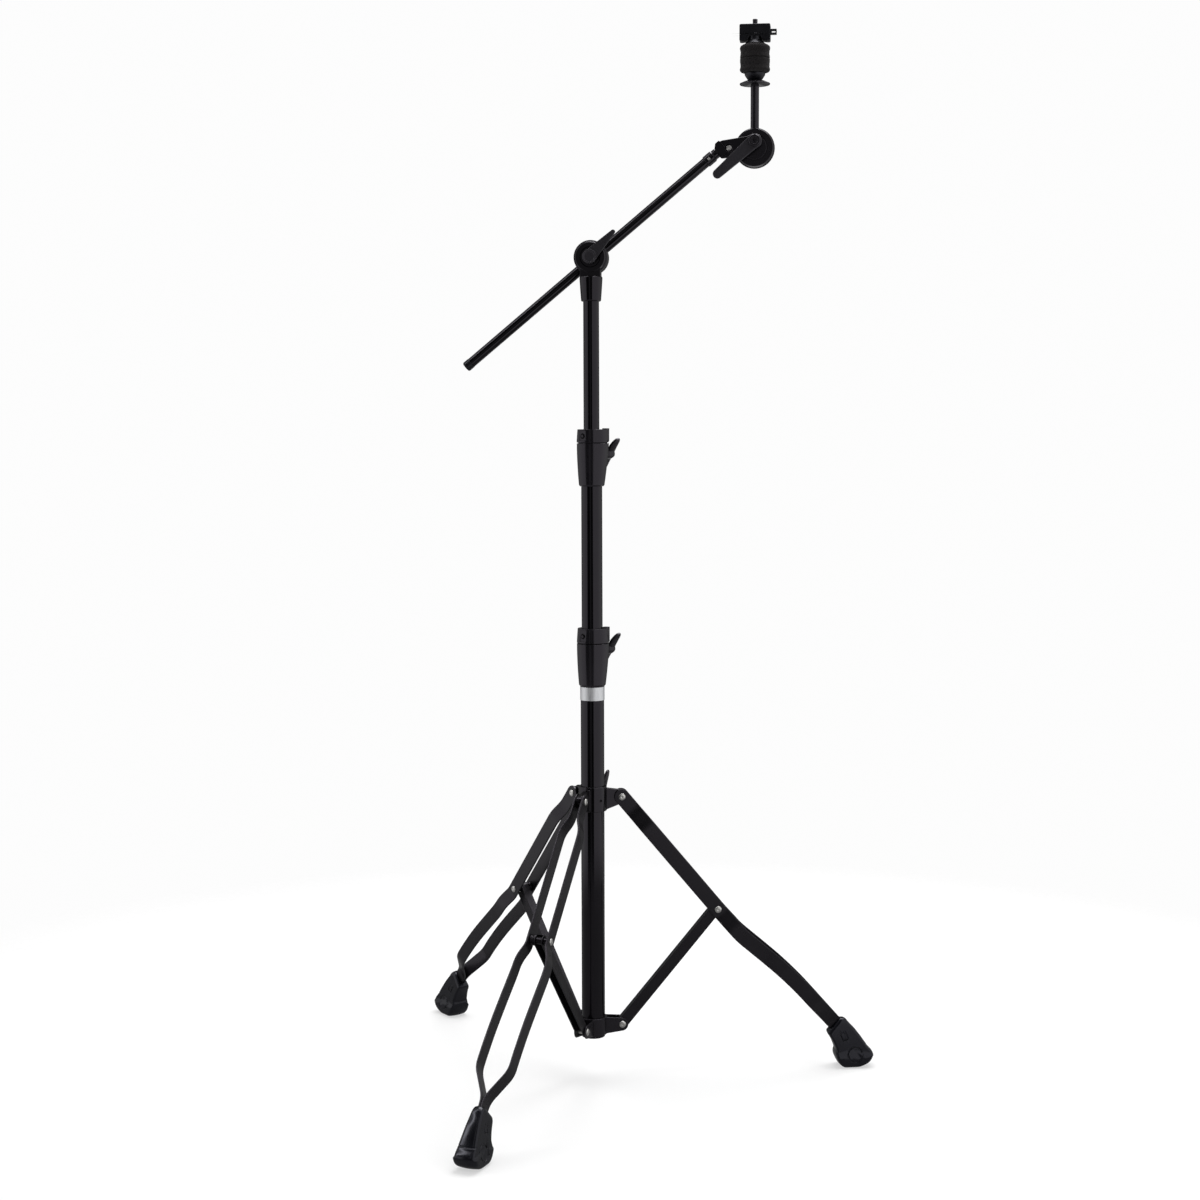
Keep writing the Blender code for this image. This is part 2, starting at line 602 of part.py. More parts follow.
def tilter_stem():
    """The cymbal tilter's eccentric disc, with the stem and its threaded stud in one piece."""
    center = (STEM_X, 1130.4)
    profile = [(22.4, -32.0), (23.8, -31.0), (23.8, -27.3), (22.7, -26.9), (23.1, -26.4), (22.0, -19.8)]
    body = boom_disc(profile, center)
    stem = turned([(5.0, 1148.0), (5.0, 1205.3), (3.0, 1205.9), (3.0, 1279.6), (2.4, 1280.4)], 16)
    body = join(body, moved(stem, Matrix.Translation((STEM_X, -STEM_T, 0))))
    return cut(body, bar((HUB[0], 10, HUB[1]), (HUB[0], 40, HUB[1]), 4.3, 20))


def tilter_bolt():
    """The bolt through the tilter, with a recessed front cap."""
    profile = [(6.2, -36.2), (7.0, -35.4), (7.0, -32.3), (4.0, -32.3), (4.0, -8.2), (7.0, -8.2), (7.0, -5.4)]
    profile += [(6.2, -4.6), (2.6, -4.6), (2.3, -6.2)]
    return boom_disc(profile, HUB, 16)


def cymbal_lever():
    arm = boom_plate(capsule(HUB, (150.1, 1099.0), 8.3, 5.5), -13.0, -8.5)
    return cut(arm, bar((HUB[0], 0, HUB[1]), (HUB[0], 20, HUB[1]), 4.3, 20))


def build_boom(black, silver, cap_black):
    pivot = (0, -BOOM_T, PIVOT_Z)
    hub = (HUB[0], -STEM_T, HUB[1])
    add("boom_tilter_base", tilter_base(), black, (0, 0, 950.0))
    add("boom_tilter_disc", tilter_disc(), black, pivot)
    add("boom_eye_bolt", eye_bolt(), black, pivot)
    add("boom_tilter_lever", tilter_lever(), black, (0, -10.3, PIVOT_Z))
    add("boom_rod", boom_rod(), black, pivot)
    add("boom_end_cap", end_cap(), cap_black, boom_point(ROD_LOW))
    set_screw = [(1.9, 3.8), (1.9, 6.4), (1.5, 6.8)]
    screw = moved(turned(set_screw, 14), along((0, -1, 0), boom_point(181)))
    add("boom_set_screw", screw, silver, boom_point(181, 0, BOOM_T + 6))
    add("cymbal_tilter_bracket", bracket(), black, hub)
    profile = [(1.9, -19.2), (2.1, -15.9), (3.6, -15.9), (3.6, -15.2), (2.6, -14.4)]
    add("bracket_screw", boom_disc(profile, (163.5, 1129.7), 14), silver, (163.5, 16.0, 1129.7))
    add("cymbal_tilter_bolt", tilter_bolt(), black, hub)
    add("cymbal_tilter_lever", cymbal_lever(), black, (HUB[0], 13.0, HUB[1]))
    add("cymbal_tilter_stem", tilter_stem(), black, hub)


# ---------------------------------------------------------------- cymbal seat


def quick_release_nut():
    """A nut with a coned foot, a flat-topped bar and a rounded wing hanging from each end."""
    core = turned([(12.4, 1251.6), (9.2, 1256.1), (9.2, 1262.5)], 18)
    half = [(8.0, 1262.0), (8.4, 1257.1), (11.3, 1254.8), (14.2, 1254.2), (16.8, 1254.6), (18.2, 1256.2)]
    half += [(18.2, 1272.8), (17.2, 1273.9)]
    body = join(core, upright(half + [(-x, z) for x, z in reversed(half)], -8, 8))
    body = cut(body, bar((0, 0, 1240), (0, 0, 1290), 3.35, 20))
    return cut(body, block((9.4, 25), (-4.3, 4.3), (1261.7, 1268.3)))


def release_button():
    """A push button in a pocket of the nut, ending in a small loop."""
    body = block((12.6, 25.5), (-4.0, 4.0), (1262.0, 1268.0))
    return cut(body, block((19.6, 24.2), (-10, 10), (1263.7, 1266.3)))


def build_seat(black, plastic, felt):
    seat = Matrix.Translation((STEM_X, -STEM_T, 0))

    def seated(name, mesh, mat, height):
        add(name, moved(mesh, seat), mat, (STEM_X, -STEM_T, height))

    cup = [(3.4, 1206.2), (17.4, 1203.8), (18.0, 1204.4), (18.0, 1205.6), (12.0, 1208.2), (3.4, 1209.0)]
    seated("cup_washer", turned(cup, SIDES, closed=True), black, 1206.2)
    holder = [(3.4, 1209.3), (8.2, 1209.3), (12.0, 1215.0), (12.3, 1217.8), (4.9, 1217.8)]
    holder += [(4.9, 1250.0), (3.4, 1250.0)]
    seated("cymbal_seat", turned(holder, 18, closed=True), plastic, 1209.3)
    lower = [(5.3, 1218.1), (14.0, 1218.1), (17.2, 1219.2), (18.2, 1221.4), (17.2, 1225.4), (17.9, 1232.0)]
    lower += [(17.9, 1234.4), (5.3, 1234.4)]
    seated("lower_felt", turned(lower, SIDES, closed=True), felt, 1218.1)
    upper = [(5.3, 1234.7), (17.9, 1234.7), (17.1, 1241.6), (18.2, 1246.8), (17.0, 1249.2), (13.4, 1251.1)]
    upper += [(5.3, 1251.1)]
    seated("upper_felt", turned(upper, SIDES, closed=True), felt, 1234.7)
    seated("quick_release_nut", quick_release_nut(), plastic, 1251.6)
    seated("release_button", release_button(), plastic, 1265.0)


def main():
    clear_scene()
    black = material("black_plating", (0.012, 0.012, 0.014), 0.16, 1.0)
    cap_black = material("black_plastic", (0.012, 0.012, 0.012), 0.35, 0.0)
    rubber = material("rubber", (0.016, 0.017, 0.022), 0.42, 0.0)
    silver = material("bright_steel", (0.62, 0.60, 0.58), 0.28, 1.0)
    nylon = material("nylon", (0.02, 0.02, 0.02), 0.5, 0.0)
    band = material("silver_band", (0.60, 0.61, 0.63), 0.3, 1.0)
    felt = material("felt", (0.022, 0.020, 0.021), 0.95, 0.0)
    build_tripod(black, rubber, silver)
    build_mast(black, nylon, silver, band)
    build_boom(black, silver, cap_black)
    build_seat(black, cap_black, felt)


main()
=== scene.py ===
"""Looks of the boom cymbal stand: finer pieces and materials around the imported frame, and a plain studio.

Shapes are modelled in millimetres about the mast's axis, with +Z up and the boom leaning out along +X, and
placed by show(). A leg's pieces are modelled in its own plane, X being the distance from the mast.
"""

import json  # noqa: E402
import math  # noqa: E402
import random  # noqa: E402

import bmesh  # noqa: E402
import bpy  # noqa: E402
from mathutils import Matrix, Vector, noise  # noqa: E402


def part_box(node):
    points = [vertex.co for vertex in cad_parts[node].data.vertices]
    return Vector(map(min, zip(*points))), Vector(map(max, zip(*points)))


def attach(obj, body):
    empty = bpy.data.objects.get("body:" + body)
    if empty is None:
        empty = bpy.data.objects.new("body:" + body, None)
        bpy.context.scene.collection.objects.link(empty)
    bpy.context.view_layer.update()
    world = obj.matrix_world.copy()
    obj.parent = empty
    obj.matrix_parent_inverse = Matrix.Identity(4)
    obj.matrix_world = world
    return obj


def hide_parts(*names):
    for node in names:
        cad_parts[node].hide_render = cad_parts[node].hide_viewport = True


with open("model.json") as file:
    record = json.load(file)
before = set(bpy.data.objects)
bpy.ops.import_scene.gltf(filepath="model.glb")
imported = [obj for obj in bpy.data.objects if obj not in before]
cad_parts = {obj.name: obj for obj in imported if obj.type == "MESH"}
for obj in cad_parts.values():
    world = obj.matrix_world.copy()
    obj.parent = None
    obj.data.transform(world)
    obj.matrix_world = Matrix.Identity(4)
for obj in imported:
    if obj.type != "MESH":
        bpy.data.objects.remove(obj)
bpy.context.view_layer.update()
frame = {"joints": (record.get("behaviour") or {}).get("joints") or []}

# ---- places, from the frame ----

MM = 1000.0
GAP = 0.3
JOINTS = {joint["name"]: joint for joint in frame["joints"]}
MAST = sum(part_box("mid_tube"), Vector()) / 2
MAST.z = 0


def joint_point(name):
    """A joint's point, in millimetres from the mast's foot."""
    return (Vector(JOINTS[name]["pos_m"]) - MAST) * MM


def span(node, axis=2):
    """How far a CAD node reaches along an axis, in millimetres from the mast's foot."""
    low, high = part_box(node)
    return (low[axis] - MAST[axis]) * MM, (high[axis] - MAST[axis]) * MM


def azimuth_of(point):
    return math.degrees(math.atan2(point.y, point.x))


LEG_AZIMUTHS = {
    "a": azimuth_of(joint_point("tripod_fold")),
    "b": azimuth_of(joint_point("brace_b_low_pivot")),
    "c": azimuth_of(joint_point("brace_c_low_pivot")),
}
PIVOT_R = joint_point("tripod_fold").xy.length
LOW_PIVOT = (PIVOT_R, joint_point("tripod_fold").z)
TOP_PIVOT = (PIVOT_R, joint_point("leg_a_top_pivot").z)
MID_PIVOT = (joint_point("leg_a_mid_pivot").xy.length, joint_point("leg_a_mid_pivot").z)
BASE_R = span("base_tube", 0)[1]
MID_TUBE_R = span("mid_tube", 0)[1]
TOP_TUBE_R = span("upper_tube", 0)[1]
LOWER_SCREW = joint_point("lower_screw_turn")
UPPER_SCREW = joint_point("upper_screw_turn")
COLLAR_SCREW = joint_point("collar_screw_turn")
LOWER_KEY = joint_point("lower_key_turn")
UPPER_KEY = joint_point("upper_key_turn")
BOOM_PIVOT = joint_point("boom_tilt")
BOOM_DIRECTION = Vector(JOINTS["boom_slide"]["axis"])
BOOM_ANGLE = math.degrees(math.atan2(BOOM_DIRECTION.z, BOOM_DIRECTION.x))
TILTER = (0, BOOM_PIVOT.z)
HUB = (joint_point("cymbal_tilt").x, joint_point("cymbal_tilt").z)
SEAT_X = sum(span("cup_washer", 0)) / 2
SEAT_Y = sum(span("cup_washer", 1)) / 2

# tripod sizes; a half is measured from the leg's plane
STRAP_WIDTH = 18.5
STRAP_THICK = 2.5
CLOSED_HALF = 5.05
OPEN_HALF = 12.55
WIDE_HALF = 20.0
TOE_HALF = 1.4
BRACE_WIDTH = 11.0
BRACE_DEPTH = 13.3
EAR_IN, EAR_OUT = 5.8, 7.5
LUG_HALF = 3.5
SHANK_R = 2.8
NECK_R = 4.6
RIVET_HOLE_R = SHANK_R + GAP

# mast sizes
SHOULDERS = (519.6, 762.1)  # the heights of the steps that the bushings stand on
POCKET_RADII = (17.0, 14.3)  # the housings' bores round the bushings
SCREW_HOLE_R = 3.3
SWELL_AZIMUTH, SWELL_SPREAD = 32.0, 50.0  # where housings and locks are pushed out, in degrees
KNUCKLE_AZIMUTH, KNUCKLE_R = 14.0, 17.3

# boom sizes
BOOM_R = 6.0
ROD_START = -202.7  # the end cap's foot, along the rod from the tilter
SET_SCREW_AT = 181.0
BOLT_HOLE_R = 4.3
BRACKET_SCREW = (163.5, 1129.7)
BUTTON_Z = (1262.0, 1268.0)

SIDES = 72


# ---- mesh tools ----


def as_mesh(bm):
    bmesh.ops.recalc_face_normals(bm, faces=bm.faces)
    mesh = bpy.data.meshes.new("shape")
    bm.to_mesh(mesh)
    bm.free()
    return mesh


def moved(mesh, matrix):
    mesh.transform(matrix)
    return mesh


def shift(x, y, z):
    return Matrix.Translation((x, y, z))


def spin(degrees, axis="Z"):
    return Matrix.Rotation(math.radians(degrees), 4, axis)


def evaluated(obj):
    """The object's mesh with its modifiers applied; the object is removed."""
    bpy.context.view_layer.update()
    graph = bpy.context.evaluated_depsgraph_get()
    mesh = bpy.data.meshes.new_from_object(obj.evaluated_get(graph))
    bpy.data.objects.remove(obj, do_unlink=True)
    return mesh


def linked(name, data):
    obj = bpy.data.objects.new(name, data)
    bpy.context.scene.collection.objects.link(obj)
    return obj


def combine(mesh, others, operation):
    for other in others:
        target, tool = linked("work", mesh), linked("work", other)
        mod = target.modifiers.new("combine", "BOOLEAN")
        mod.solver = "EXACT"
        mod.operation = operation
        mod.object = tool
        mesh = evaluated(target)
        bpy.data.objects.remove(tool, do_unlink=True)
    return mesh


def join(first, *others):
    return combine(first, others, "UNION")


def cut(first, *others):
    return combine(first, others, "DIFFERENCE")


def polished(mesh, bevel=0.0, segments=2):
    """The mesh with its sharp edges rounded, and normals that keep flat faces flat."""
    obj = linked("work", mesh)
    if bevel:
        mod = obj.modifiers.new("edges", "BEVEL")
        mod.width = bevel
        mod.segments = segments
        mod.limit_method = "ANGLE"
        mod.angle_limit = math.radians(34)
        mod.use_clamp_overlap = False
        mod.miter_outer = "MITER_ARC"
    mesh = evaluated(obj)
    mesh.shade_smooth()
    mesh.set_sharp_from_angle(angle=math.radians(52))
    obj = linked("work", mesh)
    mod = obj.modifiers.new("normals", "WEIGHTED_NORMAL")
    mod.keep_sharp = True
    return evaluated(obj)


def rounded(points, radius, steps=3, closed=True, dull=12.0):
    """A run of points with its corners rounded; corners duller than `dull` degrees stay as they are."""
    points = [Vector(p) for p in points]
    count = len(points)
    out = []
    for i, point in enumerate(points):
        if not closed and i in (0, count - 1):
            out.append(point)
            continue
        before, after = points[i - 1], points[(i + 1) % count]
        back, ahead = before - point, after - point
        if min(back.length, ahead.length) < 1e-6 or math.degrees(back.angle(-ahead)) < dull:
            out.append(point)
            continue
        reach = min(radius, 0.46 * back.length, 0.46 * ahead.length)
        start, end = point + back.normalized() * reach, point + ahead.normalized() * reach
        for k in range(steps + 1):
            t = k / steps
            out.append(start * (1 - t) ** 2 + point * (2 * t * (1 - t)) + end * t**2)
    return out


def dense(points, step):
    """The same closed run of points with no step longer than given."""
    out = []
    for point, after in zip(points, points[1:] + points[:1]):
        count = max(1, round((after - point).length / step))
        out += [point.lerp(after, k / count) for k in range(count)]
    return out


def skin(bm, loops, closed=False):
    """Joins each loop of points to the next. A loop of one point is a tip, and an open run gets end caps."""
    rings = [[bm.verts.new(point) for point in loop] for loop in loops]
    for low, high in zip(rings, rings[1:] + (rings[:1] if closed else [])):
        count = max(len(low), len(high))
        for i in range(count):
            j = (i + 1) % count
            if len(low) == 1:
                bm.faces.new((low[0], high[i], high[j]))
            elif len(high) == 1:
                bm.faces.new((low[i], low[j], high[0]))
            else:
                bm.faces.new((low[i], low[j], high[j], high[i]))
    if not closed:
        for ring in (rings[0], rings[-1]):
            if len(ring) > 1:
                bm.faces.new(ring)


def skinned(loops, closed=False):
    bm = bmesh.new()
    skin(bm, loops, closed)
    return as_mesh(bm)


def turned(profile, sides=SIDES, closed=False, swell=None):
    """A profile of (radius, height) turned about Z. A closed profile makes a ring, an open one gets end caps.

    swell(radius, height) says how far the surface is pushed out around SWELL_AZIMUTH."""
    loops = []
    for radius, height in profile:
        if radius < 1e-6:
            loops.append([(0, 0, height)])
            continue
        extra = swell(radius, height) if swell else 0
        loop = []
        for i in range(sides):
            angle = math.tau * i / sides
            away = (math.degrees(angle) - SWELL_AZIMUTH + 180) % 360 - 180
            out = radius + extra * math.exp(-((away / SWELL_SPREAD) ** 2))
            loop.append((out * math.cos(angle), out * math.sin(angle), height))
        loops.append(loop)
    return skinned(loops, closed)


def soft_turned(profile, radius=0.5, sides=SIDES, closed=True, swell=None):
    """A turned shape with rounded corners."""
    return turned([tuple(p) for p in rounded(profile, radius, 3, closed)], sides, closed, swell)


def along(direction, origin=(0, 0, 0)):
    """The matrix that takes +Z to a direction, and the origin to a point."""
    turn = Vector((0, 0, 1)).rotation_difference(Vector(direction)).to_matrix().to_4x4()
    return Matrix.Translation(Vector(origin)) @ turn


def bar(start, end, radius, sides=40):
    start, end = Vector(start), Vector(end)
    mesh = turned([(radius, 0), (radius, (end - start).length)], sides)
    return moved(mesh, along(end - start, start))


def pin(place, start, end, radius=BOLT_HOLE_R, sides=40):
    """A bar along Y between two depths, at a place in X and Z."""
    return bar((place[0], start, place[1]), (place[0], end, place[1]), radius, sides)


def rivet_hole(place, radius=RIVET_HOLE_R, sides=24):
    return pin(place, -30, 30, radius, sides)


def prism(outline, low, high):
    """An outline in X and Y, extruded along Z."""
    return skinned([[(p[0], p[1], z) for p in outline] for z in (low, high)])


def upright(outline, low, high):
    """An outline in X and Z, extruded along Y from low to high."""
    return moved(prism([(p[0], -p[1]) for p in outline], low, high), spin(-90, "X"))


def block(x, y, z):
    return prism([(x[0], y[0]), (x[1], y[0]), (x[1], y[1]), (x[0], y[1])], z[0], z[1])


def arc(center, radius, start, end, steps=24):
    angles = [math.radians(start + (end - start) * i / steps) for i in range(steps + 1)]
    return [(center[0] + radius * math.cos(a), center[1] + radius * math.sin(a)) for a in angles]


def capsule(start, end, radius_start, radius_end, steps=24):
    """The outline around two circles and the tangents between them."""
    dx, dy = end[0] - start[0], end[1] - start[1]
    turn = math.degrees(math.atan2(dy, dx))
    lean = math.degrees(math.asin((radius_start - radius_end) / math.hypot(dx, dy)))
    back = arc(start, radius_start, turn + 90 - lean, turn + 270 + lean, steps)
    front = arc(end, radius_end, turn - 90 + lean, turn + 90 - lean, steps)
    return back + front


def radial(azimuth, distance, height):
    angle = math.radians(azimuth)
    return Vector((distance * math.cos(angle), distance * math.sin(angle), height))


def radial_bar(azimuth, height, inner, outer, radius):
    return bar(radial(azimuth, inner, height), radial(azimuth, outer, height), radius)


def show(name, mesh, mat, body, node, azimuth=0.0):
    """Puts a piece in place of its CAD node."""
    mesh = mesh.copy()
    mesh.transform(Matrix.Translation(MAST) @ Matrix.Scale(1 / MM, 4) @ spin(azimuth))
    mesh.name = name
    mesh.materials.clear()
    mesh.materials.append(mat)
    obj = linked(name, mesh)
    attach(obj, body)
    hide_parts(node)
    return obj


# ---- materials ----


class Nodes:
    """Short ways to add nodes to a tree. An input is a number, a colour or another node's output."""

    def __init__(self, tree):
        self.tree = tree

    def put(self, socket, value):
        if isinstance(value, bpy.types.NodeSocket):
            self.tree.links.new(value, socket)
        else:
            socket.default_value = value

    def node(self, kind, inputs=(), **settings):
        made = self.tree.nodes.new("ShaderNode" + kind)
        for name, value in settings.items():
            setattr(made, name, value)
        for socket, value in dict(inputs).items():
            self.put(made.inputs[socket], value)
        return made

    def math(self, operation, first, second):
        return self.node("Math", {0: first, 1: second}, operation=operation).outputs["Value"]

    def times(self, first, second):
        return self.math("MULTIPLY", first, second)

    def plus(self, first, second):
        return self.math("ADD", first, second)

    def remap(self, value, low=0.3, high=0.7, to_low=0.0, to_high=1.0, **settings):
        inputs = {"Value": value, "From Min": low, "From Max": high, "To Min": to_low, "To Max": to_high}
        return self.node("MapRange", inputs, **settings).outputs["Result"]


class Finish(Nodes):
    """A Principled material. Its textures are in the piece's own metres."""

    def __init__(self, name, **sockets):
        self.material = bpy.data.materials.new(name)
        self.material.use_nodes = True
        super().__init__(self.material.node_tree)
        self.shader = self.tree.nodes["Principled BSDF"]
        for socket, value in sockets.items():
            self.set(socket.replace("_", " "), value)
        self.place = self.node("TexCoord").outputs["Object"]

    def set(self, socket, value):
        self.put(self.shader.inputs[socket], value)

    def stretched(self, scale):
        return self.node("Mapping", {"Vector": self.place, "Scale": scale}).outputs["Vector"]

    def noise(self, size, detail=3.0, rough=0.55, place=None):
        """A noise with features of about `size` millimetres."""
        inputs = {"Vector": place or self.place, "Scale": MM / size, "Detail": detail, "Roughness": rough}
        return self.node("TexNoise", inputs).outputs["Fac"]

    def mix(self, factor, first, second):
        first, second = ((*c, 1.0) if isinstance(c, tuple) else c for c in (first, second))
        inputs = {"Factor": factor, "A": first, "B": second}
        return self.node("Mix", inputs, data_type="RGBA").outputs["Result"]

    def edges(self, reach=0.5):
        """1 on edges, which wear, and 0 on faces: where a rounded normal turns away from the true one."""
        soft = self.node("Bevel", {"Radius": reach / MM}, samples=4).outputs["Normal"]
        true = self.node("NewGeometry").outputs["Normal"]
        compare = self.node("VectorMath", {0: soft, 1: true}, operation="DOT_PRODUCT")
        return self.remap(compare.outputs["Value"], 0.97, 0.80)

    def upward(self):
        """1 on faces that look up, where dust settles."""
        normal = self.node("NewGeometry").outputs["Normal"]
        return self.remap(self.node("SeparateXYZ", {"Vector": normal}).outputs["Z"], 0.3, 1.0)

    def bump(self, height, strength, distance, below=None):
        inputs = {"Height": height, "Strength": strength, "Distance": distance / MM}
        if below:
            inputs["Normal"] = below
        return self.node("Bump", inputs).outputs["Normal"]


def plating(name, dark, worn, gloss_low, gloss_high, peel):
    """Black plating: a slight orange peel, fine rubbed scratches, worn edges and a little dust."""
    f = Finish(name, Metallic=0.0, IOR=1.46, Specular_Tint=(0.94, 0.87, 1.0, 1.0))
    cloud = f.noise(38, 4)
    scratches = f.remap(f.noise(1.0, 2, 0.7, f.stretched((0.9, 0.9, 0.06))), 0.62, 0.78)
    wear = f.times(f.edges(), f.remap(f.noise(6, 4), 0.42, 0.62, 0.15, 1.0))
    dust = f.times(f.upward(), f.remap(f.noise(3, 5), 0.45, 0.75, 0.0, 0.5))
    color = f.mix(f.remap(cloud), dark, tuple(1.5 * c for c in dark))
    color = f.mix(f.times(wear, 0.7), color, worn)
    f.set("Base Color", f.mix(f.times(dust, 0.25), color, (0.06, 0.058, 0.055)))
    rough = f.remap(cloud, to_low=gloss_low, to_high=gloss_high)
    rough = f.plus(rough, f.times(scratches, 0.10))
    rough = f.plus(rough, f.times(wear, 0.12))
    f.set("Roughness", f.plus(rough, f.times(dust, 0.3)))
    f.set("Normal", f.bump(scratches, 0.05, 0.01, f.bump(f.noise(2.2, 2), peel, 0.03)))
    return f.material


def moulded(name, dark, light, rough_low, rough_high, grain, strength):
    """Rubber or plastic from a mould: a fine grain, cloudy gloss, scuffed edges."""
    f = Finish(name, Metallic=0.0, IOR=1.44, Specular_Tint=(0.88, 0.88, 1.0, 1.0))
    cloud = f.noise(14, 4)
    wear = f.times(f.edges(0.7), f.remap(f.noise(4, 4), 0.4, 0.65, 0.1, 1.0))
    color = f.mix(f.remap(cloud), dark, light)
    f.set("Base Color", f.mix(f.times(wear, 0.5), color, (0.07, 0.07, 0.072)))
    rough = f.remap(cloud, to_low=rough_low, to_high=rough_high)
    f.set("Roughness", f.plus(rough, f.times(wear, 0.15)))
    f.set("Normal", f.bump(f.noise(7, 2), 0.06, 0.20, f.bump(f.noise(grain, 3), strength, 0.08)))
    return f.material


def bright_steel():
    """Zinc-plated steel: cloudy and lightly pitted."""
    f = Finish("bright_steel", Metallic=1.0)
    cloud = f.noise(1.6, 4)
    f.set("Base Color", f.mix(f.remap(cloud), (0.56, 0.55, 0.53), (0.78, 0.77, 0.75)))
    f.set("Roughness", f.remap(cloud, to_low=0.26, to_high=0.40))
    f.set("Normal", f.bump(f.noise(0.5, 3), 0.25, 0.03))
    return f.material


def silver_foil():
    """The blank band: satin foil brushed along its height."""
    f = Finish("silver_foil", Metallic=1.0)
    brushed = f.noise(0.7, 3, 0.7, f.stretched((1.0, 1.0, 0.03)))
    f.set("Base Color", f.mix(f.remap(brushed, 0.35, 0.65), (0.74, 0.75, 0.77), (0.93, 0.94, 0.96)))
    rough = f.remap(brushed, to_low=0.38, to_high=0.50)
    f.set("Roughness", f.plus(rough, f.remap(f.noise(9, 3), to_high=0.08)))
    f.set("Normal", f.bump(brushed, 0.12, 0.02))
    return f.material


def wool_felt():
    """Pressed dark felt: matted fibres, with lighter flecks."""
    f = Finish("wool_felt", Metallic=0.0, Specular_IOR_Level=0.15, Sheen_Weight=0.05, Sheen_Roughness=0.6)
    matted = f.noise(1.1, 6, 0.75)
    flecks = f.remap(f.noise(0.45, 3, 0.8, f.stretched((1.0, 1.0, 2.6))), 0.58, 0.72)
    color = f.mix(f.remap(matted, 0.34, 0.66), (0.0055, 0.0049, 0.0053), (0.021, 0.0185, 0.0195))
    f.set("Base Color", f.mix(f.times(flecks, 0.6), color, (0.056, 0.050, 0.052)))
    f.set("Roughness", f.remap(matted, to_low=0.86, to_high=1.0))
    f.set("Normal", f.bump(matted, 0.7, 0.25, f.bump(f.noise(2.4, 4), 0.5, 0.35)))
    return f.material


GLOSS = plating("black_gloss", (0.0010, 0.0010, 0.0012), (0.020, 0.020, 0.021), 0.08, 0.14, 0.05)
SATIN = plating("black_satin", (0.0030, 0.0029, 0.0034), (0.024, 0.024, 0.025), 0.24, 0.34, 0.10)
CAST = plating("black_cast", (0.0062, 0.0058, 0.0070), (0.022, 0.022, 0.023), 0.13, 0.21, 0.10)
LEVER = plating("black_lever", (0.0155, 0.0150, 0.0170), (0.046, 0.046, 0.048), 0.34, 0.44, 0.12)
RUBBER = moulded("rubber", (0.0028, 0.0029, 0.0042), (0.0046, 0.0048, 0.0066), 0.13, 0.20, 0.9, 0.07)
PLASTIC = moulded("black_plastic", (0.0022, 0.0022, 0.0028), (0.004, 0.0041, 0.005), 0.28, 0.40, 0.6, 0.16)
NYLON = moulded("nylon", (0.010, 0.010, 0.010), (0.016, 0.016, 0.016), 0.45, 0.6, 0.7, 0.2)
STEEL = bright_steel()
FOIL = silver_foil()
FELT = wool_felt()
SLOTS = dict.fromkeys((GLOSS, SATIN, CAST, LEVER), "black_plating")
SLOTS.update({RUBBER: "rubber", PLASTIC: "black_plastic", NYLON: "nylon"})
SLOTS.update({STEEL: "bright_steel", FOIL: "silver_band", FELT: "felt"})


# ---- tripod ----


def strap_path():
    """Stations along a leg strap, in the leg's plane: (distance from the mast, height, half spread)."""
    start, end = Vector(TOP_PIVOT), Vector(MID_PIVOT)
    length = (end - start).length
    line = [(0, CLOSED_HALF), (26, CLOSED_HALF)] + [(s, OPEN_HALF) for s in (43, length, length + 9)]
    upper = [(*(start + (end - start) * (s / length)), half) for s, half in line]
    lower = [(170.5, 188.4, WIDE_HALF - 0.6), (181.7, 175.6, WIDE_HALF), (197, 162.6, WIDE_HALF)]
    lower += [(212.3, 149.6, WIDE_HALF), (228, 136, WIDE_HALF), (243.2, 121.8, WIDE_HALF)]
    lower += [(259.2, 105.6, WIDE_HALF), (273.5, 89.6, WIDE_HALF)]
    toe = [(296.2, 64.4, TOE_HALF), (314, 44.6, TOE_HALF)]
    return upper + lower + toe


def strap(side):
    """A flat steel strap with rolled edges, swept along its path, with a round top end."""
    knots = [Vector((r, side * half, z)) for r, z, half in strap_path()]
    path = rounded(knots, 8, 5, closed=False, dull=0.5)
    steps = [(after - before).normalized() for before, after in zip(path, path[1:])]
    tangents = [(a + b).normalized() for a, b in zip(steps[:1] + steps, steps + steps[-1:])]
    half = STRAP_WIDTH / 2
    stations = []
    for degrees in (88, 80, 70, 58, 46, 34, 22, 10):
        angle = math.radians(degrees)
        top = path[0] - tangents[0] * half * math.sin(angle)
        stations.append((top, tangents[0], half * math.cos(angle)))
    stations += [(p, t, half) for p, t in zip(path, tangents)]
    roll = 0.7
    loops = []
    for point, tangent, width in stations:
        across = Vector((-tangent.z, 0, tangent.x)).normalized()
        flat = tangent.cross(across).normalized()
        edge = min(roll, width * 0.4)
        loop = []
        for (u_side, v_side), start in (((1, 1), 0), ((-1, 1), 90), ((-1, -1), 180), ((1, -1), 270)):
            for step in range(4):
                angle = math.radians(start + 30 * step)
                u = u_side * (width - edge) + edge * math.cos(angle)
                v = v_side * (STRAP_THICK / 2 - roll) + roll * math.sin(angle)
                loop.append(point + across * u + flat * v)
        loops.append(loop)
    return polished(cut(skinned(loops), rivet_hole(TOP_PIVOT), rivet_hole(MID_PIVOT)))


def across_leg(mesh, place):
    """A shape turned about Z, laid across the leg's plane."""
    return moved(mesh, shift(place[0], 0, place[1]) @ spin(-90, "X"))


def rivet(place, half):
    """A rivet across the leg's plane, with a domed and dimpled head outside each face."""
    face = half + GAP
    head = [(0, 0.95), (0.8, 0.97), (1.25, 1.16), (2, 1.25), (2.9, 1.08), (3.7, 0.68), (4.15, 0.25)]
    side = [(radius, face + height) for radius, height in head] + [(4.2, face), (SHANK_R, face)]
    profile = [(radius, -height) for radius, height in side] + side[::-1]
    return polished(across_leg(turned(profile, 32), place))


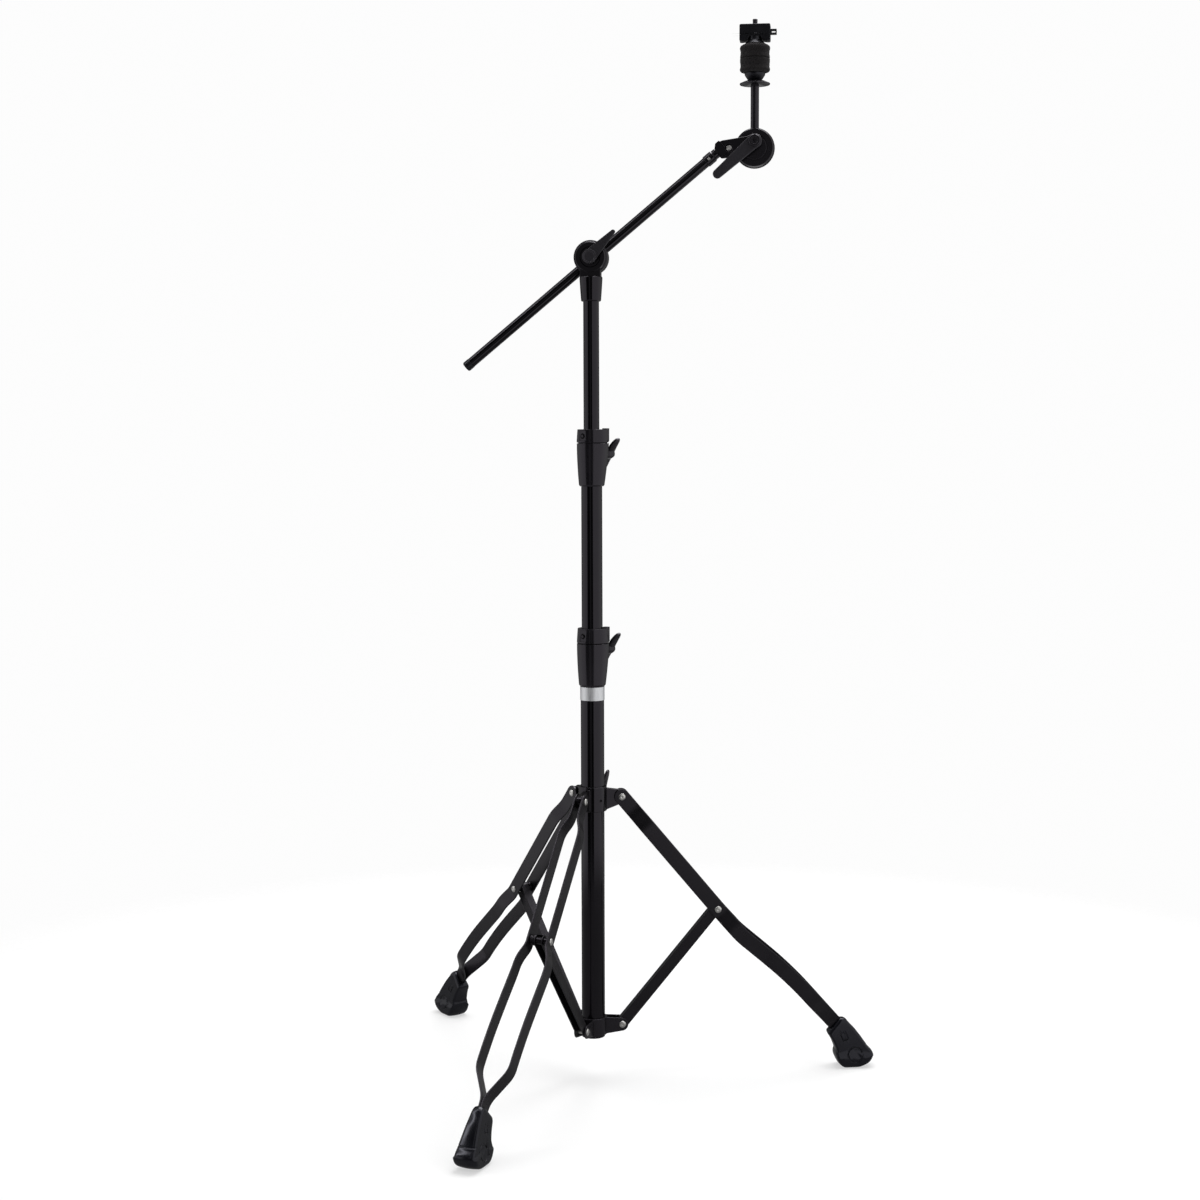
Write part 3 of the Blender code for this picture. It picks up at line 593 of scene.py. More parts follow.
def spacer():
    """A shouldered spacer between the straps, with a groove round its barrel."""
    inner = OPEN_HALF - STRAP_THICK / 2 - GAP
    shoulder = -BRACE_WIDTH / 2 - GAP
    groove = (shoulder - inner) / 2
    barrel_r, groove_r = 6.4, 5.6
    profile = [(RIVET_HOLE_R, -inner), (barrel_r, -inner), (barrel_r, groove - 0.8), (groove_r, groove - 0.4)]
    profile += [(groove_r, groove + 0.4), (barrel_r, groove + 0.8), (barrel_r, shoulder), (NECK_R, shoulder)]
    profile += [(NECK_R, inner), (RIVET_HOLE_R, inner)]
    return polished(across_leg(soft_turned(profile, 0.35, 40), MID_PIVOT))


def brace():
    """A channel-section brace with round ends and rolled edges, open on its outer, lower side."""
    half, depth, wall = BRACE_WIDTH / 2, BRACE_DEPTH / 2, 1.5
    body = upright(capsule(LOW_PIVOT, MID_PIVOT, depth, depth), -half, half)
    run = Vector(MID_PIVOT) - Vector(LOW_PIVOT)
    hollow = block((-20, run.length + 20), (wall - half, half - wall), (-20, depth - wall))
    lean = math.degrees(math.atan2(run.y, run.x))
    hollow = moved(hollow, shift(LOW_PIVOT[0], 0, LOW_PIVOT[1]) @ spin(-lean, "Y"))
    return polished(cut(body, hollow, rivet_hole(LOW_PIVOT), rivet_hole(MID_PIVOT, NECK_R + GAP, 32)), 0.45)


def foot():
    """A moulded rubber foot: a tapered body over a flared base, with marks on its sides and a ribbed toe."""
    outline = [(314, 0), (334.5, 0), (341, 2.4), (346, 5), (349.4, 8.2), (352.9, 15.6)]
    outline += [(351.2, 19.8), (346.6, 24.4), (345.2, 26.2), (344, 26.8), (344, 28.2), (337.4, 37.6)]
    outline += [(329.6, 47.8), (321.8, 55.9), (318, 60.8), (314, 62.9), (309, 62.2), (296.8, 49.2)]
    outline += [(294.2, 46.2), (294.4, 43.6), (300.2, 34), (304.6, 23), (303.2, 18.6), (304.6, 12)]
    points = dense(rounded(outline + [(308.4, 4.6)], 3.2, 3, dull=2), 1.5)
    middle = Vector((322, 28))

    def half_width(z):
        flare = 1 / (1 + math.exp((z - 16.5) / 0.5))
        return 12.4 - 6.2 * max(z - 17.5, 0) / 45 + 2.2 * flare

    # across the foot: the flat of each side, its rolled edge, and a slight crown between the two
    stations = [(scale, 1) for scale in (0.10, 0.26, 0.42, 0.58, 0.72, 0.82)]
    for degrees in (90, 72, 54, 36, 18, 0):
        angle = math.radians(degrees)
        stations.append((0.98 - 0.13 * (1 - math.cos(angle)), 1 - 0.37 * (1 - math.sin(angle))))
    stations += [(0.9935, 0.36), (0.9995, 0.12)]
    loops = []
    for scale, share in [(scale, -share) for scale, share in stations] + stations[::-1]:
        places = [middle + (point - middle) * scale for point in points]
        loops.append([(place.x, share * half_width(place.y), place.y) for place in places])
    body = skinned(loops)
    start, end = strap_path()[-2:]
    lean = math.degrees(math.atan2(start[1] - end[1], end[0] - start[0]))
    slot_half, slot_depth = TOE_HALF + 1.65, STRAP_WIDTH / 2 + 0.4
    slot = block((-4, 28), (-slot_half, slot_half), (-slot_depth, slot_depth))
    body = cut(body, moved(slot, shift(start[0], 0, start[1]) @ spin(lean, "Y")))
    for rib in ((338.6, -0.2), (343.7, 2), (348.4, 5.2), (351.6, 10.6)):
        body = cut(body, rivet_hole(rib, 1.1, 16))
    ring_center = (328, 17)
    for side in (-1, 1):
        for height, first, last in ((12, 182, 358), (22, 16, 164)):
            face = half_width(height)
            ring = arc(ring_center, 9.6, first, last) + arc(ring_center, 8.2, last, first)
            body = cut(body, upright(ring, *sorted((side * (face - 0.8), side * (face + 1.5)))))
        mark = cut(block((-4.2, 4.2), (-1.5, 1.5), (-5.4, 5.4)), block((-3, 3), (-3, 3), (-4.2, 4.2)))
        mark_place = shift(314.5, side * (half_width(40) + 0.9), 40)
        body = cut(body, moved(mark, mark_place @ spin(-20, "Y")))
    return polished(body, 0.35)


def leg_collar():
    """The sliding collar: a ring with three lugs between the leg straps and a boss for the wing screw."""
    low, high = span("leg_collar")
    high += 2.4
    outer, bore = 17.2, BASE_R + GAP + 0.1
    body = turned([(bore, low), (outer, low), (outer, high), (bore, high)], SIDES, closed=True)
    for azimuth in LEG_AZIMUTHS.values():
        outline = [(15.8, low + 0.6)] + arc(TOP_PIVOT, 8.2, -60, 75, 20) + [(15.8, high - 3)]
        lug = cut(upright(outline, -LUG_HALF, LUG_HALF), rivet_hole(TOP_PIVOT))
        body = join(body, moved(lug, spin(azimuth)))
    screw = azimuth_of(COLLAR_SCREW)
    body = join(body, radial_bar(screw, COLLAR_SCREW.z, 15.9, 21.2, 6.4))
    body = cut(body, radial_bar(screw, COLLAR_SCREW.z, 10, 25, SCREW_HOLE_R))
    body = cut(body, radial_bar(-48, COLLAR_SCREW.z - 2, 15, 25, 1.5))
    split = block((bore - 1, outer + 1), (-0.35, 0.35), (low - 1, high + 1))
    return polished(cut(body, moved(split, spin(-108))), 0.6, 3)


def brace_collar():
    """The fixed collar at the foot of the mast, with a pair of ears for each brace."""
    low, high = span("brace_collar")
    bore, outer = BASE_R + GAP, 17
    body = turned([(bore, low), (outer, low), (outer, high), (bore, high)], SIDES, closed=True)
    ear_center = (PIVOT_R - 1.2, LOW_PIVOT[1])
    outline = [(14.4, low + 0.5)] + arc(ear_center, 8.4, -70, 70, 20) + [(14.4, high - 0.5)]
    for azimuth in LEG_AZIMUTHS.values():
        for side in (-1, 1):
            ear = upright(outline, *sorted((side * EAR_IN, side * EAR_OUT)))
            body = join(body, moved(cut(ear, rivet_hole(LOW_PIVOT)), spin(azimuth)))
    return polished(body, 0.4)


def build_tripod():
    show("collar_sliding", leg_collar(), GLOSS, "leg_collar", "leg_collar")
    show("collar_fixed", brace_collar(), CAST, "base", "brace_collar")
    strap_half = STRAP_THICK / 2
    shapes = [
        ("leg_{}_strap_left", strap(1), SATIN, "leg_{}"),
        ("leg_{}_strap_right", strap(-1), SATIN, "leg_{}"),
        ("leg_{}_foot", foot(), RUBBER, "leg_{}"),
        ("leg_{}_spacer", spacer(), GLOSS, "leg_{}"),
        ("leg_{}_top_rivet", rivet(TOP_PIVOT, CLOSED_HALF + strap_half), STEEL, "leg_{}"),
        ("leg_{}_mid_rivet", rivet(MID_PIVOT, OPEN_HALF + strap_half), STEEL, "leg_{}"),
        ("brace_{}", brace(), SATIN, "brace_{}"),
        ("brace_{}_low_rivet", rivet(LOW_PIVOT, EAR_OUT), STEEL, "base"),
    ]
    for leg, azimuth in LEG_AZIMUTHS.items():
        for name, mesh, mat, body in shapes:
            node = name.format(leg)
            show("fine_" + node, mesh, mat, body.format(leg), node, azimuth)


# ---- mast ----


def sleeve(node, bore, soft, sides):
    """A plain tube of its CAD node's height and outer radius."""
    low, high = span(node)
    outer = span(node, 0)[1]
    return polished(soft_turned([(bore, low), (outer, low), (outer, high), (bore, high)], soft, sides))


def leaf(spine, depth, thick, side, face):
    """A wing with an oval section: stations along its spine of (distance from the screw's axis, height)."""
    loops = []
    for knot in rounded([Vector((x, z, 0)) for x, z in spine], 3, 4, closed=False, dull=1):
        at = min(range(len(spine)), key=lambda i: abs(spine[i][0] - knot.x))
        other = min(max(at + (1 if knot.x > spine[at][0] else -1), 0), len(spine) - 1)
        share = 0
        if other != at:
            share = (knot.x - spine[at][0]) / (spine[other][0] - spine[at][0])
        tall = depth[at] + (depth[other] - depth[at]) * share
        wide = thick[at] + (thick[other] - thick[at]) * share
        loop = []
        for k in range(28):
            angle = math.tau * k / 28
            c, s = math.cos(angle), math.sin(angle)
            y = math.copysign(abs(c) ** 0.75, c) * wide
            z = math.copysign(abs(s) ** 0.75, s) * tall
            loop.append((side * knot.x, y, face + knot.y + z))
        loops.append(loop)
    return skinned(loops)


def wing_screw(place, tip, roll, reach=1.0):
    """A screw pointing at the mast, from its tip to its hub's face, with two swept, oval wings."""
    face = place.xy.length
    profile = [(2.2, tip), (3, tip + 0.8), (3, face), (5.6, face), (6.4, face + 0.8), (6.2, face + 8)]
    body = soft_turned(profile + [(4.6, face + 11.6)], 0.7, 48, closed=False)
    spine = [(0, 6.3), (8, 6.4), (14, 6.7), (19, 7.8), (22.4, 8.8), (23.8, 9.2)]
    spine = [(x * reach, z) for x, z in spine]
    depth = (5.5, 5.5, 5.4, 4.6, 3.2, 1.6)
    thick = (3.9, 3.1, 2.8, 2.5, 2, 1.1)
    for side in (1, -1):
        body = join(body, leaf(spine, depth, thick, side, face))
    axis = Vector((place.x, place.y, 0)).normalized()
    side = Vector((-axis.y, axis.x, 0))
    facing = Matrix((side, Vector((0, 0, 1)), axis)).transposed().to_4x4()
    return moved(polished(body), shift(0, 0, place.z) @ facing @ spin(-roll))


def joint_housing(node, bottom_r, top_r, tube_r, level, screw, bulge):
    """A tapered clamp that swells on one side, with a stepped bore for the tube and the bushing."""
    low, high = span(node)
    lower_bore, shoulder, upper_bore = tube_r + GAP, SHOULDERS[level], POCKET_RADII[level]
    profile = [(lower_bore, low), (bottom_r - 1.2, low), (bottom_r, low + 1.6)]
    for share in (0.2, 0.35, 0.5, 0.62, 0.75, 0.85):
        radius = bottom_r + (top_r - bottom_r) * math.sin(share * math.pi / 2)
        profile.append((radius, low + (high - low) * share))
    profile += [(top_r, high), (upper_bore, high), (upper_bore, shoulder), (lower_bore, shoulder)]

    def swell(radius, height):
        return bulge * max(0, (height - low) / (high - low)) if radius > bottom_r - 1.3 else 0

    azimuth = azimuth_of(screw)
    body = soft_turned(profile, 0.45, SIDES, swell=swell)
    boss = soft_turned([(6.6, 0), (6.6, 22.6 - top_r + 1)], 0.5, 40, closed=False)
    body = join(body, moved(boss, along(radial(azimuth, 1, 0), radial(azimuth, top_r - 1, screw.z))))
    return polished(cut(body, radial_bar(azimuth, screw.z, upper_bore - 3, 26, SCREW_HOLE_R)), 0.2)


def memory_lock(node, tube_r, bottom_r, top_r, key, bulge):
    """A lock ring with a hinge knuckle, and a recess with a hole for its key screw."""
    low, high = span(node)
    high -= 1.2
    bore = tube_r + GAP + 0.1
    profile = [(bore, low - 0.2), (bottom_r - 1.6, low - 0.2), (bottom_r - 1.6, low + 0.7)]
    profile += [(bottom_r, low + 0.7), (bottom_r, low + 3), (top_r, high), (bore, high)]

    def swell(radius, height):
        return bulge if radius > bore + 1 else 0

    body = soft_turned(profile, 0.45, SIDES, swell=swell)
    place = radial(KNUCKLE_AZIMUTH, KNUCKLE_R, 0)
    knuckle = soft_turned([(4.2, low + 2), (4.2, high + 1.2)], 0.8, 32, closed=False)
    body = join(body, moved(knuckle, Matrix.Translation(place)))
    body = cut(body, bar((0, 0, low - 5), (0, 0, high + 5), bore, SIDES))
    azimuth = azimuth_of(key)
    body = cut(body, radial_bar(azimuth, key.z, bore - 4, bottom_r + 6, 3.2))
    recess = block((bottom_r - 1.5, bottom_r + 5), (-4.6, 4.6), (low + 3.2, high - 1.6))
    split = block((bore - 2, bottom_r + 6), (-0.35, 0.35), (low - 1, high + 3))
    body = cut(body, moved(recess, spin(azimuth)), moved(split, spin(azimuth + 34)))
    return polished(body, 0.3)


def key_screw(key, tip, end):
    shank = [(2.3, tip), (2.8, tip + 0.5), (2.8, end - 2.6), (1.6, end - 2.6)]
    head = block((-1.7, 1.7), (-1.7, 1.7), (end - 3.2, end))
    body = polished(join(soft_turned(shank, 0.2, 32, closed=False), head), 0.2)
    return moved(body, along(radial(azimuth_of(key), 1, 0), (0, 0, key.z)))


def build_mast():
    show("tube_base", sleeve("base_tube", 13.1, 0.5, 96), GLOSS, "base", "base_tube")
    show("tube_middle", sleeve("mid_tube", 11.4, 0.5, 96), GLOSS, "mid", "mid_tube")
    show("tube_upper", sleeve("upper_tube", 8.2, 0.5, 96), GLOSS, "top", "upper_tube")
    show("band", sleeve("label_band", BASE_R + 0.25, 0.12, 96), FOIL, "base", "label_band")
    housing = joint_housing("lower_joint_housing", 16.3, 18.6, BASE_R, 0, LOWER_SCREW, 2.6)
    show("clamp_lower", housing, CAST, "base", "lower_joint_housing")
    housing = joint_housing("upper_joint_housing", 15.4, 17.8, MID_TUBE_R, 1, UPPER_SCREW, 3.8)
    show("clamp_upper", housing, CAST, "mid", "upper_joint_housing")
    lock = memory_lock("lower_memory_lock", MID_TUBE_R, 18.6, 17.6, LOWER_KEY, 2.2)
    show("lock_lower", lock, CAST, "lower_lock", "lower_memory_lock")
    lock = memory_lock("upper_memory_lock", TOP_TUBE_R, 17.9, 17, UPPER_KEY, 3.2)
    show("lock_upper", lock, CAST, "upper_lock", "upper_memory_lock")
    show("key_lower", key_screw(LOWER_KEY, 13.7, 18.4), GLOSS, "lower_key", "lower_lock_key_screw")
    show("key_upper", key_screw(UPPER_KEY, 10.5, 17.4), GLOSS, "upper_key", "upper_lock_key_screw")
    show("wing_lower", wing_screw(LOWER_SCREW, 17.2, 54, 1.02), CAST, "lower_screw", "lower_wing_screw")
    show("wing_upper", wing_screw(UPPER_SCREW, 14.5, 54, 0.96), CAST, "upper_screw", "upper_wing_screw")
    wing = wing_screw(COLLAR_SCREW, 14.8, 76, 1.28)
    show("wing_collar", wing, CAST, "collar_screw", "leg_collar_wing_screw")
    for level, tube_r in (("lower", MID_TUBE_R), ("upper", TOP_TUBE_R)):
        ring = sleeve(level + "_bushing", tube_r + GAP + 0.05, 0.4, 64)
        show("sleeve_" + level, ring, NYLON, level + "_turn", level + "_bushing")


# ---- boom ----


def boom_point(e, y=BOOM_PIVOT.y):
    """A point at a distance along the boom's axis, at a depth y."""
    angle = math.radians(BOOM_ANGLE)
    return Vector((e * math.cos(angle), y, TILTER[1] + e * math.sin(angle)))


def rod_hole(start, end, radius=BOOM_R + GAP + 0.05, sides=64):
    """A bar along the boom's axis between two distances."""
    return bar(boom_point(start), boom_point(end), radius, sides)


def in_boom(mesh):
    """A shape modelled about a level boom, tilted to its angle."""
    return moved(mesh, shift(0, 0, TILTER[1]) @ spin(-BOOM_ANGLE, "Y"))


def disc(profile, center, sides=SIDES, soft=0.0):
    """A profile of (radius, distance in front of the mast's axis) turned about an axis along Y."""
    mesh = soft_turned(profile, soft, sides, closed=False) if soft else turned(profile, sides)
    return moved(mesh, shift(center[0], 0, center[1]) @ spin(90, "X"))


def plate(outline, back, front):
    """An outline in the boom's plane between two distances in front of the mast's axis."""
    return upright(outline, -front, -back)


def tilter_base():
    """A sleeve for the upper tube, and the fixed disc that stands over it."""
    tube_top = span("upper_tube")[1]
    low = span("boom_tilter_base")[0]
    profile = [(11.2, low), (12, low + 1), (12.9, low + 13), (13.7, low + 26), (13.7, low + 28.4)]
    outer = soft_turned(profile + [(12.8, low + 29.5)], 0.6, SIDES, closed=False)
    body = cut(outer, bar((0, 0, low - 10), (0, 0, tube_top + GAP), TOP_TUBE_R + GAP, SIDES))
    neck = plate([(-12.2, 978.6), (12.2, 978.6), (12.2, 992), (-12.2, 992)], -5.4, 9)
    rim = [(20.3, -6), (20.3, 5), (19.9, 5.6), (18.8, 5.8), (17.6, 9.8), (17, 10)]
    head = disc(rim + [(12.2, 10), (11.8, 9.4), (10, 9.4)], TILTER)
    return polished(cut(join(body, neck, head), pin(TILTER, 20, -20)), 0.4, 3)


def tilter_disc():
    """The turning disc: a groove for the boom rod, a pocket for the eye and a hole for its shank."""
    body = disc([(18.9, -17.5), (20.1, -16.3), (20.1, -6.3)], TILTER)
    pocket = in_boom(block((-4.6, 4.6), (10.8, 20), (-10.2, 10.2)))
    return polished(cut(body, rod_hole(-40, 40, sides=48), pocket, pin(TILTER, 20, 0)), 0.35)


def eye_bolt():
    """An eye round the boom rod, with the shank that the lever draws forward."""
    body = join(rod_hole(-4.2, 4.2, 9.3), pin(TILTER, 13.4, -14.6, 4))
    return polished(cut(body, rod_hole(-10, 10)), 0.5, 3)


def tilter_lever():
    """A tear-drop lever nut on the front disc, with a raised round hub."""
    hub = disc([(8.3, 10.3), (8.3, 18.6), (7.7, 19.2), (6.4, 19.2), (6, 18.8), (0, 18.8)], TILTER, 64)
    arm = plate(capsule(TILTER, (28.4, TILTER[1] + 28.6), 8.1, 2.5, 32), 14.1, 18.3)
    return polished(cut(join(hub, arm), pin(TILTER, 0, -15)), 0.7, 3)


def boom_rod():
    """The solid rod: a spigot for its end cap, the rod, a ferrule, a neck and a spigot for the bracket."""
    profile = [(4.6, ROD_START + 2.2), (4.6, ROD_START + 9), (BOOM_R, ROD_START + 9), (BOOM_R, 176)]
    profile += [(7, 176.4), (7, 187), (6, 188), (6, 192.9), (4, 192.9), (4, 201)]
    rod = moved(soft_turned(profile, 0.35, 64, closed=False), along(BOOM_DIRECTION, boom_point(0)))
    start, end = (boom_point(SET_SCREW_AT, BOOM_PIVOT.y - depth) for depth in (3.4, 10))
    return polished(cut(rod, bar(start, end, 2.3, 24)), 0.15)


def end_cap():
    outer = soft_turned([(5.2, 0), (6.3, 1.2), (6.3, 8.7)], 0.9, 48, closed=False)
    cap = polished(cut(outer, turned([(4.9, 1.9), (4.9, 12)], 48)), 0.2)
    return moved(cap, along(BOOM_DIRECTION, boom_point(ROD_START)))


def set_screw():
    profile = [(1.9, 3.8), (1.9, 6.4), (1.5, 6.8), (1, 6.8), (0.9, 6.2), (0, 6.2)]
    screw = soft_turned(profile, 0.12, 32, closed=False)
    return polished(moved(screw, along((0, -1, 0), boom_point(SET_SCREW_AT))))


def bracket():
    """The end bracket: a block over the rod's spigot, and a lug plate that carries the cymbal tilter."""
    outline = [(154.4, 1117.6), (165, 1118.4), (189, 1129.6)] + arc(HUB, 8.6, -60, 100, 28)
    outline += [(184, 1142.6), (154.6, 1138.4), (147.6, 1134.6), (146.4, 1132), (151.6, 1120.6)]
    lug = plate(rounded(outline, 1.6, 4, dull=14), -19.5, -13.9)
    side = [(193.2, -6.5), (195.4, -9), (203.6, -9), (203.6, 9), (198, 9), (193.2, 4.6)]
    body = cut(join(lug, in_boom(upright(side, 13.9, 27.1))), rod_hole(190, 201.6, 4.3, 40))
    body = cut(body, pin(HUB, 10, 25), pin(BRACKET_SCREW, 10, 25, 2.5))
    return polished(cut(body, pin(BRACKET_SCREW, 10, 16.4, 4.6)), 0.6, 3)


def bracket_screw():
    profile = [(1.9, -19.2), (2.1, -15.9), (3.6, -15.9), (3.6, -15.2), (2.6, -14.4), (1.3, -14.3)]
    return polished(disc(profile + [(1.1, -15), (0, -15.1)], BRACKET_SCREW, 40, 0.2))


def tilter_stem():
    """The cymbal tilter's grooved disc, with the stem and its threaded stud in one piece."""
    high = span("cymbal_tilter_stem")[1]
    profile = [(22.4, -32), (23.8, -31), (23.8, -27.4), (22.7, -27.2), (22.7, -26.6), (23.1, -26.4)]
    profile += [(22.1, -20.4), (21.6, -19.8), (15.2, -19.8), (14.9, -20.3), (14.2, -20.3), (13.9, -19.8)]
    body = disc(profile + [(9, -19.8)], (SEAT_X, 1130.4), SIDES, 0.25)
    pitch, turn, stud_r = 1.25, 1250, 3
    stem = [(5, 1148), (5, 1205.3), (stud_r, 1205.9), (stud_r, turn)]
    while turn + pitch < high - 1.2:
        stem += [(stud_r, turn + 0.2), (2.55, turn + 0.62), (stud_r, turn + 1.05)]
        turn += pitch
    stem += [(stud_r, high - 0.8), (2.4, high)]
    body = join(body, moved(turned(stem, 48), shift(SEAT_X, SEAT_Y, 0)))
    return polished(cut(body, pin(HUB, 10, 40)), 0.25)


def tilter_bolt():
    """The bolt through the tilter, with a recessed front cap."""
    profile = [(6.2, -36.2), (7, -35.4), (7, -32.3), (4, -32.3), (4, -8.2), (7, -8.2), (7, -5.4)]
    profile += [(6.2, -4.6), (4.4, -4.6), (4.1, -5.1), (2.8, -5.1), (2.4, -6.2), (0, -6.4)]
    return polished(disc(profile, HUB, 64, 0.3))


def cymbal_lever():
    arm = plate(capsule(HUB, (150.1, 1099), 8.3, 5.5, 32), -13, -8.5)
    return polished(cut(arm, pin(HUB, 0, 20)), 1.1, 3)


def build_boom():
    show("tilter_base", tilter_base(), GLOSS, "top", "boom_tilter_base")
    show("tilter_disc", tilter_disc(), GLOSS, "boom_head", "boom_tilter_disc")
    show("tilter_eye", eye_bolt(), CAST, "boom_head", "boom_eye_bolt")
    show("tilter_lever", tilter_lever(), LEVER, "tilt_lever", "boom_tilter_lever")
    show("rod", boom_rod(), GLOSS, "boom", "boom_rod")
    show("rod_cap", end_cap(), PLASTIC, "boom", "boom_end_cap")
    show("rod_screw", set_screw(), STEEL, "boom", "boom_set_screw")
    show("bracket", bracket(), GLOSS, "boom", "cymbal_tilter_bracket")
    show("bracket_screw_head", bracket_screw(), STEEL, "boom", "bracket_screw")
    show("tilter_bolt", tilter_bolt(), CAST, "boom", "cymbal_tilter_bolt")
    show("lever_cymbal", cymbal_lever(), LEVER, "cymbal_lever", "cymbal_tilter_lever")
    show("stem", tilter_stem(), CAST, "cymbal_stem", "cymbal_tilter_stem")


# ---- cymbal seat ----


def quick_release_nut():
    """A nut with a coned foot, a flat-topped bar and a rounded wing hanging from each end."""
    low, high = span("quick_release_nut")
    core = soft_turned([(12.2, low), (8, low + 4.4), (8, low + 10.9)], 0.7, 64, closed=False)
    half = [(7, low + 8.4), (7.6, low + 5.5), (10.2, low + 3.2), (14.2, low + 2.6), (18.2, low + 2.6)]
    half += [(18.2, high)]
    body = join(core, upright(rounded(half + [(-x, z) for x, z in reversed(half)], 2, 5), -8, 8))
    body = cut(body, bar((0, 0, low - 10), (0, 0, high + 10), 3.35))
    body = cut(body, turned([(5.2, high - 0.7), (5.2, high + 2)], 48))
    pocket = block((9.4, 25), (-4.3, 4.3), (BUTTON_Z[0] - GAP, BUTTON_Z[1] + GAP))
    return polished(cut(body, pocket), 0.7, 3)


def release_button():
    body = block((12.6, 25.5), (-4, 4), BUTTON_Z)
    return polished(cut(body, block((19.6, 24.2), (-10, 10), (1263.7, 1266.3))), 0.4, 3)


def fibre(rng, root, normal):
    """The loops of a loose fibre that lies along a surface and arches off it."""
    lean = Vector((rng.uniform(-1, 1), rng.uniform(-1, 1), rng.uniform(-1, 1)))
    lay = (lean - normal * lean.dot(normal)).normalized()
    side = normal.cross(lay).normalized() * 0.05
    length = rng.uniform(0.7, 1.9)
    lift = rng.uniform(0.1, 0.42)
    loops = []
    for t, share in ((0, 1), (0.5, 0.8), (1, 0.2)):
        place = root - normal * 0.05 + lay * length * t + normal * lift * math.sin(math.pi * t)
        loops.append((place + side * share, place - side * share, place + normal * 0.07 * share))
    return loops


def felt(profile, seed):
    """A felt ring: a softly uneven surface with loose fibres standing off it."""
    base = turned([tuple(p) for p in dense(rounded(profile, 1.2, 4), 0.8)], 120, closed=True)
    bore = min(p[0] for p in profile)
    middle = sum(p[1] for p in profile) / len(profile)
    for vertex in base.vertices:
        out = Vector((vertex.co.x, vertex.co.y, 0))
        if out.length < bore + 0.5:
            continue
        lump = noise.fractal(vertex.co * 0.55 + Vector((seed, 0, 0)), 0.8, 2.1, 4)
        vertex.co -= out.normalized() * (0.24 + 0.24 * max(-1, min(1, lump)))
        vertex.co.z += (middle - vertex.co.z) * 0.012 * (1 + lump)
    bm = bmesh.new()
    bm.from_mesh(base)
    outer = [f for f in bm.faces if f.calc_center_median().xy.length > bore + 1.5]
    rng = random.Random(seed)
    for face in rng.choices(outer, k=1500):
        skin(bm, fibre(rng, face.calc_center_median(), face.normal))
    mesh = as_mesh(bm)
    mesh.shade_smooth()
    return mesh


def build_seat():
    place = shift(SEAT_X, SEAT_Y, 0)
    cup = [(3.4, 1206.2), (17.4, 1203.8), (18, 1204.4), (18, 1205.6), (12, 1208.2), (3.4, 1209)]
    show("washer", moved(polished(soft_turned(cup, 0.5)), place), CAST, "seat", "cup_washer")
    holder = [(3.4, 1209.3), (8.2, 1209.3), (12, 1215), (12.3, 1217.8), (4.9, 1217.8), (4.9, 1250)]
    cone = moved(polished(soft_turned(holder + [(3.4, 1250)], 0.6)), place)
    show("seat_sleeve", cone, PLASTIC, "seat", "cymbal_seat")
    lower = [(5.3, 1218.1), (14, 1218.1), (17.2, 1219.2), (18.2, 1221.4), (17.2, 1225.4), (17.9, 1232)]
    lower += [(17.9, 1234.4), (5.3, 1234.4)]
    upper = [(5.3, 1234.7), (17.9, 1234.7), (17.1, 1241.6), (18.2, 1246.8), (17, 1249.2), (13.4, 1251.1)]
    upper += [(5.3, 1251.1)]
    rings = (("lower_felt", lower, "felt_low", 3), ("upper_felt", upper, "felt_high", 8))
    for name, profile, body, seed in rings:
        pad = show("pad_" + name, moved(felt(profile, seed), place), FELT, body, name)
    show("nut", moved(quick_release_nut(), place), PLASTIC, "nut", "quick_release_nut")
    show("button", moved(release_button(), place), PLASTIC, "button", "release_button")


# ---- studio ----

CAMERA_AZIMUTH = -83.0  # where the camera stands, seen from the mast
CAMERA_DISTANCE = 2.4022
CAMERA_HEIGHT = 0.8083
CAMERA_PITCH, CAMERA_YAW, CAMERA_ROLL = 0.090, 0.004, 0.003
FLOOR_RADIUS = 1.3  # its edge fades into the backdrop


def build_camera():
    data = bpy.data.cameras.new("camera")
    data.lens = 59.7
    data.sensor_width = 36.0
    camera = linked("camera", data)
    angle = math.radians(CAMERA_AZIMUTH)
    camera.location = MAST + Vector((math.cos(angle), math.sin(angle), 0)) * CAMERA_DISTANCE
    camera.location.z = CAMERA_HEIGHT
    facing = Matrix.Rotation(angle + math.pi / 2, 3, "Z")
    right = Vector((math.cos(CAMERA_YAW), -math.sin(CAMERA_YAW), 0))
    level = Vector((math.sin(CAMERA_YAW), math.cos(CAMERA_YAW), 0))
    up_z = Vector((0, 0, 1))
    ahead = level * math.cos(CAMERA_PITCH) - up_z * math.sin(CAMERA_PITCH)
    up = level * math.sin(CAMERA_PITCH) + up_z * math.cos(CAMERA_PITCH)
    tilted_right = right * math.cos(CAMERA_ROLL) - up * math.sin(CAMERA_ROLL)
    tilted_up = right * math.sin(CAMERA_ROLL) + up * math.cos(CAMERA_ROLL)
    columns = Matrix((facing @ tilted_right, facing @ tilted_up, facing @ -ahead)).transposed()
    camera.rotation_mode = "QUATERNION"
    camera.rotation_quaternion = columns.to_quaternion()
    bpy.context.scene.camera = camera


